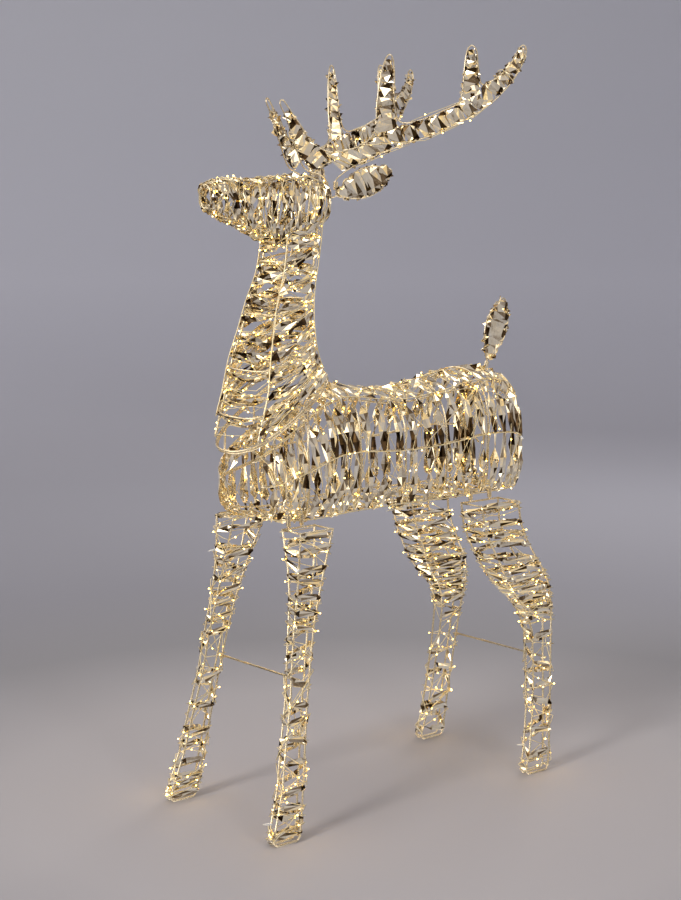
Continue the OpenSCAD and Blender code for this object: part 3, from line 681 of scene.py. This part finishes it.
def wire_run(mesh, points, normals, bead_every):
    """Light string that goes from point to point, with small beads about bead_every mm apart."""
    path = []
    since = rng.uniform(0, bead_every)
    for i in range(len(points) - 1):
        a, b = points[i], points[i + 1]
        length = np.linalg.norm(b - a)
        nrm = normals[i]
        steps = max(2, int(length / WIRE_STEP))
        side = unit(np.cross(b - a, nrm))
        wave = rng.uniform(-WIRE_SAG, WIRE_SAG)
        for s in range(steps):
            t = s / steps
            sag = side * wave * math.sin(math.pi * t)
            p = a + (b - a) * t + sag + nrm * rng.uniform(0, WIRE_OFF)
            path.append(p)
            since += length / steps
            if since >= bead_every:
                since -= bead_every * rng.uniform(*BEAD_SPACING)
                if rng.random() < BEAD_CHANCE:
                    bead(mesh, p + nrm * BEAD_LIFT, BEAD_R * rng.uniform(*BEAD_SIZES))
    path.append(points[-1])
    tube(mesh, path, WIRE_R, sides=5)


def wound_lights(mesh, rows, rounds, rails, u0, u1, turns, out, bead_every, lean=0.8, start=0,
                 backwards=False):
    """Light string wound round the rows from rail to rail, slanting by up to lean turns at random.
    It starts at start degrees, and goes round the other way where backwards is set."""
    order = sorted(rails)
    count = int(round(turns * len(order)))
    points, normals = [], []
    pitch = (u1 - u0) / turns
    for k in range(count + 1):
        i, turn = k % len(order), k // len(order)
        angle = order[i] + 360 * turn
        if backwards:
            angle = -angle
        u = u0 + (u1 - u0) * k / count + pitch * lean * rng.uniform(-1, 1)
        u = min(max(u, u0), u1)
        off = out + rng.uniform(0, 1)
        points.append(section_point(row_at(rows, u), angle + start, off, rounds))
        normals.append(outward(rows, u, angle + start, rounds))
    wire_run(mesh, points, normals, bead_every)


def wire_star(mesh, rows, rounds, u, angle, out, spokes):
    """Light wire tied at one point and led over the surface to several others."""
    for du, da in spokes:
        path = [section_point(row_at(rows, u + du * t), angle + da * t, out, rounds)
                for t in (0, 0.2, 0.4, 0.6, 0.8, 1)]
        tube(mesh, path, WIRE_R, sides=5)
        bead(mesh, path[-1], BEAD_R)
    centre = section_point(row_at(rows, u), angle, out, rounds)
    for _ in range(STAR_BEADS):
        bead(mesh, centre + [rng.uniform(-STAR_SPREAD, STAR_SPREAD) for _ in range(3)], BEAD_R)


# ------------------------------------------------------------------ torso
torso_frame = Mesh()
for angle in TORSO_RAILS:
    tube(torso_frame, rail(TORSO, angle, TORSO_ROUND, *TORSO_RAIL_ROWS, 60), ROD_R)
    for u in TORSO_HOOPS:
        blob(torso_frame, section_point(row_at(TORSO, u), angle, RAIL_INSET / 2, TORSO_ROUND),
             BODY_WELD_R, (1.2, 1, 1))
torso_frame.piece("torso_rail_rods", [GOLD_ROD], "torso", ["torso_rails"])

for number, u in enumerate(TORSO_HOOPS, 1):
    hoop_mesh = Mesh()
    tube(hoop_mesh, ring(row_at(TORSO, u), TORSO_ROUND, step=6), ROD_R, closed=True)
    hoop_mesh.piece(f"torso_hoop_rod_{number}", [GOLD_ROD], "torso",
                    [f"torso_hoop_{number}"])


def collar_at(x, s, lift):
    """Point of the collar ring at x, on the left for s = 1 and on the right for s = -1."""
    c = (np.array(COLLAR_BACK) + np.array(COLLAR_FRONT)) / 2
    half = np.linalg.norm(np.array(COLLAR_FRONT) - np.array(COLLAR_BACK)) / 2
    f = (x - c[0]) / COLLAR_DIR[0] / half
    g = (1 - abs(f) ** COLLAR_ROUND) ** (1 / COLLAR_ROUND)
    m = c + f * half * COLLAR_DIR + lift * COLLAR_UP
    return np.array([m[0], s * COLLAR_HALF_W * g, m[1]])


for name, u in (("chest", CHEST_ROW), ("shoulder", SHOULDER_ROW)):
    open_mesh = Mesh()
    ends = [collar_at(TORSO[u][0], s, -ROD_R) for s in (1, -1)]
    below = [section_point(row_at(TORSO, u), a, 0, TORSO_ROUND) for a in range(108, -109, -6)]
    tube(open_mesh, [ends[0]] + below + [ends[1]], ROD_R)
    for e in ends:
        blob(open_mesh, e, COLLAR_WELD_R)
    open_mesh.piece(f"{name}_hoop_rod", [GOLD_ROD], "torso", [f"{name}_hoop"])

collar_mesh = Mesh()
tube(collar_mesh, ring(collar_row(0), COLLAR_ROUNDS, step=6), ROD_R, closed=True)
collar_mesh.piece("torso_collar_rod", [GOLD_ROD], "torso", ["torso_collar_ring"])

torso_film = Mesh()
# Spans that leave the fold rails mostly start with the painted shade of their fold
wound_film(torso_film, TORSO, TORSO_ROUND, TORSO_RAILS, *TORSO_FILM_ROWS, turns=27, out=FILM_OUT,
           width=FILM_W * 1.4, flip=0.75, lean=0.15, pinch=0.4, dark=0.16, dark_rails=PAINTED_SHADE_RAILS,
           dark_to=PAINTED_SHADE_END)
torso_film.piece("torso_ribbon", [FILM, FOLD_PAINTED_SHADE], "torso", ["torso_film"])

torso_lights = Mesh()
wound_lights(torso_lights, TORSO, TORSO_ROUND, TORSO_RAILS, *TORSO_LIGHT_ROWS, turns=13,
             out=LIGHT_OUT, bead_every=100)
wound_lights(torso_lights, TORSO, TORSO_ROUND, TORSO_RAILS, *TORSO_LIGHT_ROWS, turns=10,
             out=LIGHT_OUT, bead_every=100, start=10, backwards=True)
for angle in TORSO_LEADS:
    lead = rail(TORSO, angle, TORSO_ROUND, *TORSO_LEAD_ROWS, 60, inset=TORSO_LEAD_OUT)
    tube(torso_lights, lead, LEAD_R, sides=6)
for side in (1, -1):
    wire_star(torso_lights, TORSO, TORSO_ROUND, HIP_STAR[0], HIP_STAR[1] * side, STAR_OUT,
              [(u, a * side) for u, a in HIP_SPOKES])
torso_lights.piece("torso_light_string", [WIRE, BEAD], "torso", ["torso_lights"])

# ------------------------------------------------------------------ neck and head
neck_ring = Mesh()
tube(neck_ring, ring(NECK[0], COLLAR_ROUNDS, step=6), ROD_R, closed=True)
for angle in (0, 90, 180, 270):
    p = section_point(NECK[0], angle, PIN_INSET, COLLAR_ROUNDS)
    tube(neck_ring, [p + PIN_TOP * COLLAR_NORMAL, p + PIN_FOOT * COLLAR_NORMAL], PIN_R, sides=12)
    blob(neck_ring, section_point(NECK[0], angle, PIN_INSET / 2, COLLAR_ROUNDS) + COLLAR_NORMAL,
         PIN_WELD_R)
neck_ring.piece("neck_collar_rod", [GOLD_ROD], "neck_and_head", ["neck_collar_ring"])

neck_frame = Mesh()
for angle in NECK_RAILS:
    tube(neck_frame, rail(NECK, angle, NECK_ROUND, *NECK_RAIL_ROWS, 48), ROD_R)
    for u in NECK_HOOPS:
        blob(neck_frame, section_point(row_at(NECK, u), angle, RAIL_INSET / 2, NECK_ROUND),
             BODY_WELD_R)
neck_frame.piece("neck_rail_rods", [GOLD_ROD], "neck_and_head", ["neck_rails"])
neck_hoops = Mesh()
for u in NECK_HOOPS:
    tube(neck_hoops, ring(row_at(NECK, u), NECK_ROUND, step=9), ROD_R, closed=True)
neck_hoops.piece("neck_hoop_rods", [GOLD_ROD], "neck_and_head", ["neck_hoops"])

head_frame = Mesh()
for angle in HEAD_RAILS:
    tube(head_frame, rail(HEAD, angle, HEAD_ROUND, *HEAD_RAIL_ROWS, 36), ROD_R)
    for u in HEAD_HOOPS:
        blob(head_frame, section_point(row_at(HEAD, u), angle, RAIL_INSET / 2, HEAD_ROUND),
             HEAD_WELD_R)
head_frame.piece("head_rail_rods", [GOLD_ROD], "neck_and_head", ["head_rails"])
head_hoops = Mesh()
for u in HEAD_HOOPS:
    tube(head_hoops, ring(row_at(HEAD, u), HEAD_ROUND, step=9), ROD_R, closed=True)
head_hoops.piece("head_hoop_rods", [GOLD_ROD], "neck_and_head", ["head_hoops"])

neck_film = Mesh()
wound_film(neck_film, NECK, NECK_ROUND, NECK_FILM_RAILS, *NECK_FILM_ROWS, turns=20, out=FILM_OUT,
           width=FILM_W * 1.15, flip=0.55, lean=0.6, pinch=0.35, dark=0.25, gap_chance=0.06)
neck_film.piece("neck_ribbon", [FILM, FOLD_PAINTED_SHADE], "neck_and_head", ["neck_film"])
neck_lights = Mesh()
wound_lights(neck_lights, NECK, NECK_ROUND, NECK_LIGHT_RAILS, *NECK_LIGHT_ROWS, turns=15,
             out=LIGHT_OUT, bead_every=70)
wound_lights(neck_lights, NECK, NECK_ROUND, NECK_LIGHT_RAILS, *NECK_LIGHT_ROWS, turns=10,
             out=LIGHT_OUT, bead_every=70, backwards=True)
for angle in NECK_RAILS:
    lead = rail(NECK, angle, NECK_ROUND, *NECK_LEAD_ROWS, 40, inset=NECK_LEAD_OUT)
    tube(neck_lights, lead, LEAD_R, sides=6)
neck_lights.piece("neck_light_string", [WIRE, BEAD], "neck_and_head", ["neck_lights"])

head_film = Mesh()
wound_film(head_film, HEAD, HEAD_ROUND, HEAD_WINDING, *HEAD_WINDING_ROWS, turns=22, out=FILM_OUT,
           width=FILM_W, flip=0.5, lean=1.2, pinch=0.45, dark=0.22, piece_len=11)
head_film.piece("head_ribbon", [FILM, FOLD_PAINTED_SHADE], "neck_and_head", ["head_film"])
head_lights = Mesh()
wound_lights(head_lights, HEAD, HEAD_ROUND, HEAD_WINDING, *HEAD_WINDING_ROWS, turns=10,
             out=LIGHT_OUT, bead_every=80)
wound_lights(head_lights, HEAD, HEAD_ROUND, HEAD_WINDING, *HEAD_WINDING_ROWS, turns=7,
             out=LIGHT_OUT, bead_every=80, backwards=True)
head_lights.piece("head_light_string", [WIRE, BEAD], "neck_and_head", ["head_lights"])


# ------------------------------------------------------------------ flat shapes: ears, tail, antlers
def leaf_rows(shape):
    """Rows of an ear or the tail, standing up from its base."""
    length, half = shape["length"], shape["half_width"]
    n = len(LEAF) - 1
    heights = [length * (LEAF_FROM + LEAF_SPAN * i / n) for i in range(n + 1)]
    return [[-half * w, z, half * w, z, LEAF_HALF_THICK, 0] for w, z in zip(LEAF, heights)]


def leaf_outline(shape):
    """Path of the rod round an ear or the tail, from the foot of its post."""
    rows = leaf_rows(shape)
    n = len(rows) - 1
    right = [row_at(rows, n * k / 10) for k in range(11)]
    left = [row_at(rows, n * k / 10) for k in range(10, 0, -1)]
    return ([[0, 0, -shape["post"]], [0, 0, -2]] + [[r[2], 0, r[3]] for r in right]
            + [[0, 0, shape["length"]]] + [[r[0], 0, r[1]] for r in left] + [[-5, 0, 2]])


def leaf_pieces(name, shape, body, place, mirror, turns):
    """Rod and film of an ear or the tail."""
    outline = Mesh()
    tube(outline, smooth_path(leaf_outline(shape)), THIN_ROD_R)
    outline.piece(f"{name}_rod", [GOLD_ROD], body, [f"{name}_frame"], mirror, place)
    skin = Mesh()
    wound_film(skin, leaf_rows(shape), LEG_ROUND, CORNERS, *LEAF_FILM_ROWS, turns=turns,
               out=THIN_FILM_OUT, width=FILM_W * 1.6, dark=0.25, **FLAT_WINDING)
    skin.piece(f"{name}_ribbon", [FILM, FOLD_PAINTED_SHADE], body, [f"{name}_film"], mirror, place)


def turn_matrix(base, *turns):
    """Function that turns a point by each (degrees, axis) in order and moves it to the base."""
    m = Matrix.Translation(Vector(base))
    for degrees, axis in turns:
        m = m @ Matrix.Rotation(math.radians(degrees), 4, axis)
    return lambda p: np.array(m @ Vector(p))


ear_place = turn_matrix(EAR_BASE, (EAR_TURN, "Z"), (90 - EAR_RISE, "Y"))
leaf_pieces("left_ear", EAR, "neck_and_head", ear_place, mirror=False, turns=6)
leaf_pieces("right_ear", EAR, "neck_and_head", ear_place, mirror=True, turns=6)
leaf_pieces("tail", TAIL, "tail", turn_matrix(TAIL_BASE, (-TAIL_LEAN, "Y")), mirror=False, turns=7)

# Rows of each branch, the stations where its film starts and ends, and its number of turns
ANTLER_BRANCHES = {
    "beam": ([[-24, 44, 22, 16, 1, 0], [36, 54, 62, 34, 1, 0], [104, 88, 120, 58, 1, 0],
              [178, 111, 190, 80, 1, 0], [250, 140, 262, 108, 1, 0], [318, 186, 336, 158, 1, 0],
              [366, 224, 386, 212, 1, 0], [389, 255, 397, 253, 1, 0]], 0.1, 6.8, 16),
    "brow": ([[-46, 22, -18, 50, 1, 0], [-58, 26, -26, 54, 1, 0], [-80, 66, -62, 88, 1, 0],
              [-100, 122, -90, 126, 1, 0]], 0.2, 2.9, 6),
    "mid": ([[74, 86, 130, 90, 1, 0], [86, 110, 124, 116, 1, 0], [90, 160, 121, 160, 1, 0],
             [104, 220, 116, 220, 1, 0]], 0.3, 2.95, 7),
    "fork": ([[258, 138, 302, 150, 1, 0], [262, 160, 300, 168, 1, 0], [267, 200, 298, 200, 1, 0],
              [278, 244, 290, 244, 1, 0]], 0.3, 2.95, 6),
}
ANTLER_PLACE = {
    "left": turn_matrix(ANTLER_BASE, (ANTLER_TURN, "Z")),
    "right": turn_matrix(ANTLER_BASE, (RIGHT_ANTLER_TURN, "Z"), (RIGHT_ANTLER_LEAN, "X"),
                         (RIGHT_ANTLER_DROOP, "Y")),
}

for side, mirrored in (("left", False), ("right", True)):
    body, antler_place = f"{side}_antler", ANTLER_PLACE[side]
    rods = Mesh()
    posts = [[[t, 0, -ANTLER_POST_LEN + 4], [t, 0, -4]] for t in ANTLER_POSTS]
    path = posts[0] + [[x, 0, z] for x, z in ANTLER] + posts[1][::-1]
    tube(rods, smooth_path(path), THIN_ROD_R)
    rods.piece(f"{side}_antler_rod", [GOLD_ROD], body, [f"{side}_antler_frame"],
               mirrored, antler_place)
    skin = Mesh()
    for rows, u0, u1, turns in ANTLER_BRANCHES.values():
        wound_film(skin, rows, LEG_ROUND, CORNERS, u0, u1, turns=turns, out=THIN_FILM_OUT,
                   width=FILM_W * 1.55, dark=0.28, **FLAT_WINDING)
    skin.piece(f"{side}_antler_ribbon", [FILM, FOLD_PAINTED_SHADE], body, [f"{side}_antler_film"],
               mirrored, antler_place)
    lamps = Mesh()
    wound_lights(lamps, ANTLER_BRANCHES["beam"][0], LEG_ROUND, CORNERS, *ANTLER_LIGHT_ROWS, turns=4,
                 out=ANTLER_LIGHT_OUT, bead_every=110)
    lamps.piece(f"{side}_antler_light_string", [WIRE, BEAD], body,
                [f"{side}_antler_lights"], mirrored, antler_place)


# ------------------------------------------------------------------ legs
def leg_outline(rows, s):
    """Closed path of the outer side rod of a leg for s = 1, and of the inner one for s = -1."""
    last = rows[-1]
    y = last[5] + s * last[4]
    down = [[r[2], r[5] + s * r[4], r[3]] for r in rows]
    up = [[r[0], r[5] + s * r[4], r[1]] for r in reversed(rows)]
    return down + [[last[2] - FOOT_BEND, y, ROD_R], [last[0] + FOOT_BEND, y, ROD_R]] + up


def rounded(points, radius):
    """The closed path with each sharp corner cut by a small arc."""
    pts = [np.array(p, float) for p in points]
    n = len(pts)
    out = []
    for i, p in enumerate(pts):
        a, b = pts[(i - 1) % n], pts[(i + 1) % n]
        la, lb = np.linalg.norm(a - p), np.linalg.norm(b - p)
        bend = unit(a - p).dot(unit(b - p))
        cut = min(radius, la * CUT_SHARE, lb * CUT_SHARE)
        if bend < ALMOST_STRAIGHT:
            out.append(p)
            continue
        s, e = p + unit(a - p) * cut, p + unit(b - p) * cut
        out += [(1 - t) ** 2 * s + 2 * t * (1 - t) * p + t * t * e for t in (0, 0.25, 0.5, 0.75, 1)]
    return out


def leg(name, rows, rungs, posts, mirrored):
    """Rods, film and lights of one leg."""
    body = f"{name}_leg"
    film_rows, light_rows = (0.05, len(rows) - 1.15), (0.1, len(rows) - 1.2)
    hinge = BRACE_HINGES[f"{name.split('_')[0]}_brace_swing"]
    rods = Mesh()
    for s in (1, -1):
        tube(rods, rounded(leg_outline(rows, s), FOOT_CORNER_R), ROD_R, closed=True)
    for i in rungs:
        r = rows[i]
        for x, z in ((r[0], r[1]), (r[2], r[3])):
            tube(rods, [[x, r[5] - r[4], z], [x, r[5] + r[4], z]], ROD_R * 0.9)
            for s in (1, -1):
                blob(rods, [x, r[5] + s * r[4], z], LEG_WELD_R)
    for x in posts:
        tube(rods, [[x, POST_Y, LEG_TOP - 1], [x, POST_Y, POST_TOP]], ROD_R, sides=16)
    rods.piece(f"{name}_leg_rods", [GOLD_ROD], body, [f"{body}_frame"], mirror=mirrored)
    skin = Mesh()
    wound_film(skin, rows, LEG_ROUND, CORNERS, *film_rows, turns=18, out=FILM_OUT,
               width=FILM_W * 0.9, flip=0.4, lean=0.45, pinch=0.4, dark=0.25, gap_chance=0.08,
               keep_off=hinge)
    skin.piece(f"{name}_leg_ribbon", [FILM, FOLD_PAINTED_SHADE], body, [f"{body}_film"], mirror=mirrored)
    lamps = Mesh()
    wound_lights(lamps, rows, LEG_ROUND, CORNERS, *light_rows, turns=17, out=LIGHT_OUT,
                 bead_every=75, lean=0.7)
    wound_lights(lamps, rows, LEG_ROUND, CORNERS, *light_rows, turns=9, out=LIGHT_OUT,
                 bead_every=75, lean=0.9, backwards=True)
    lamps.piece(f"{name}_leg_light_string", [WIRE, BEAD], body, [f"{body}_lights"],
                mirror=mirrored)


leg("front_left", FRONT_LEG, FRONT_RUNGS, FRONT_POSTS, False)
leg("front_right", FRONT_LEG, FRONT_RUNGS, FRONT_POSTS, True)
leg("rear_left", REAR_LEG, REAR_RUNGS, REAR_POSTS, False)
leg("rear_right", REAR_LEG, REAR_RUNGS, REAR_POSTS, True)

# ------------------------------------------------------------------ CAD nodes that stay
KEPT_NODES = {
    "leg_sockets": GOLD_ROD, "tail_socket": GOLD_ROD, "antler_sockets": GOLD_ROD,
    "front_brace": GOLD_ROD, "rear_brace": GOLD_ROD,
    "splice_sleeve": FITTING, "splice_cap": FITTING, "lead_gland": FITTING,
    "torso_ties": TIE, "front_left_leg_ties": TIE, "front_right_leg_ties": TIE,
    "rear_left_leg_ties": TIE, "rear_right_leg_ties": TIE,
}
for name, finish in KEPT_NODES.items():
    for obj_slot in frame["nodes"][name].material_slots:
        obj_slot.material = finish

# ------------------------------------------------------------------ stage, lights and camera
BOWL_PROFILE = [(1.5, 0), (3, 0), (4.6, 0), (5.6, 0.06), (6.6, 0.3), (7.5, 0.8), (8.2, 1.5),
                (8.7, 2.4), (9.0, 3.4), (9.1, 5.0), (9.1, 8.0)]
BOWL_R = 9.1
BOWL_SIDES = 96
CAMERA_AT = (2.4333, 2.8466, 1.2366)
CAMERA_TOWARDS = (-0.6325, -0.7614, -0.1423)
LENS_MM = 75.05
# Lamps inside the feet: x and y in millimetres, height in metres, watts
FOOT_LAMPS = [(340, 168), (340, -168), (-322, 163), (-322, -163)]
FOOT_LAMP_UP = 0.11
FOOT_LAMP_W = 0.30


def make_stage():
    """Pale floor that curves up into a round backdrop, the same from every side, its colour painted
    with light and shade by distance from the middle.
    """
    finish, t, s = material("pale_floor")
    coords = t.nodes.new("ShaderNodeTexCoord")
    length = t.nodes.new("ShaderNodeVectorMath")
    length.operation = "LENGTH"
    t.links.new(coords.outputs["Object"], length.inputs[0])
    far = t.nodes.new("ShaderNodeMapRange")
    far.inputs["From Max"].default_value = BOWL_R
    t.links.new(length.outputs["Value"], far.inputs["Value"])
    # Painted light and shade by distance from the middle: painted shade near the middle, where the
    # softboxes fall strongest, darkest in a ring of painted shadow about 1.3 m out, then paler out to
    # the backdrop
    tone = ramp_of(t, far.outputs["Result"], [
        (0.0, (0.275, 0.258, 0.266)), (0.08, (0.265, 0.253, 0.262)), (0.14, (0.185, 0.183, 0.198)),
        (0.22, (0.205, 0.206, 0.238)), (0.45, (0.320, 0.326, 0.382)), (0.60, (0.425, 0.436, 0.508)),
        (0.80, (0.540, 0.556, 0.645)), (1.0, (0.500, 0.520, 0.605))])
    t.links.new(tone.outputs["Color"], s.inputs["Base Color"])
    s.inputs["Roughness"].default_value = 0.6
    shell = bmesh.new()
    rings = []
    for r, z in BOWL_PROFILE:
        rings.append([shell.verts.new((r * math.cos(a), r * math.sin(a), z))
                      for a in (2 * math.pi * k / BOWL_SIDES for k in range(BOWL_SIDES))])
    centre = shell.verts.new((0, 0, 0))
    for k in range(BOWL_SIDES):
        n = (k + 1) % BOWL_SIDES
        shell.faces.new((centre, rings[0][k], rings[0][n]))
        for inner, outer in zip(rings, rings[1:]):
            shell.faces.new((inner[k], outer[k], outer[n], inner[n]))
    mesh = bpy.data.meshes.new("floor")
    shell.to_mesh(mesh)
    shell.free()
    mesh.polygons.foreach_set("use_smooth", [True] * len(mesh.polygons))
    mesh.materials.append(finish)
    obj = bpy.data.objects.new("floor", mesh)
    bpy.context.scene.collection.objects.link(obj)
    obj.visible_glossy = False


def make_light(name, at, towards, size, power, colour):
    """Softbox that lights the scene but is not itself seen in the film."""
    data = bpy.data.lights.new(name, "AREA")
    data.shape = "RECTANGLE"
    data.size, data.size_y = size
    data.energy = power
    data.color = colour
    obj = bpy.data.objects.new(name, data)
    obj.location = at
    obj.rotation_euler = (Vector(towards) - Vector(at)).to_track_quat("-Z", "Y").to_euler()
    obj.visible_glossy = False
    bpy.context.scene.collection.objects.link(obj)


def make_world():
    """Surroundings mirrored in the film: soft patches, from dark over grey and gold to bright."""
    world = bpy.data.worlds.new("studio")
    bpy.context.scene.world = world
    world.use_nodes = True
    t = world.node_tree
    coords = t.nodes.new("ShaderNodeTexCoord")
    patches = node(t, "ShaderNodeTexNoise", Scale=1.7, Detail=1.0, Roughness=0.5)
    t.links.new(coords.outputs["Generated"], patches.inputs["Vector"])
    tone = ramp_of(t, patches.outputs["Fac"], [
        (0.32, (0.030, 0.018, 0.008)), (0.39, (0.15, 0.11, 0.080)), (0.45, (0.38, 0.36, 0.37)),
        (0.54, (0.52, 0.49, 0.50)), (0.59, (0.85, 0.66, 0.36)), (0.64, (1.8, 1.65, 1.4)),
        (0.72, (4.2, 4.0, 3.6))])
    t.links.new(tone.outputs["Color"], t.nodes["Background"].inputs["Color"])
    t.nodes["Background"].inputs["Strength"].default_value = 1.0


bpy.context.scene.view_settings.view_transform = "Standard"
make_stage()
make_world()
make_light("key_softbox", (3.0, 0.6, 3.4), (0, 0, 0.7), (0.7, 0.7), 125, (1.0, 0.97, 0.93))
make_light("fill_softbox", (0.8, 4.2, 2.4), (0, 0, 0.7), (0.6, 0.8), 52, (0.98, 0.97, 0.98))
make_light("rim_softbox", (-3.4, -1.8, 2.8), (0, 0, 0.8), (1.2, 2.2), 55, (1.0, 0.96, 0.9))
make_light("top_softbox", (0, 0, 5.5), (0, 0, 0), (3.5, 3.5), 145, (0.97, 0.96, 1.0))

for x, y in FOOT_LAMPS:
    glow = bpy.data.lights.new("foot_glow", "POINT")
    glow.energy, glow.color, glow.shadow_soft_size = FOOT_LAMP_W, (1.0, 0.66, 0.25), 0.02
    lamp = bpy.data.objects.new("foot_glow", glow)
    lamp.location = (x * MM, y * MM, FOOT_LAMP_UP)
    lamp.visible_glossy = False
    bpy.context.scene.collection.objects.link(lamp)

camera_data = bpy.data.cameras.new("camera")
camera_data.lens = LENS_MM
camera_data.sensor_width = 36
camera_data.clip_start, camera_data.clip_end = 0.05, 60
camera = bpy.data.objects.new("camera", camera_data)
camera.location = CAMERA_AT
camera.rotation_euler = Vector(CAMERA_TOWARDS).to_track_quat("-Z", "Y").to_euler()
bpy.context.scene.collection.objects.link(camera)
bpy.context.scene.camera = camera
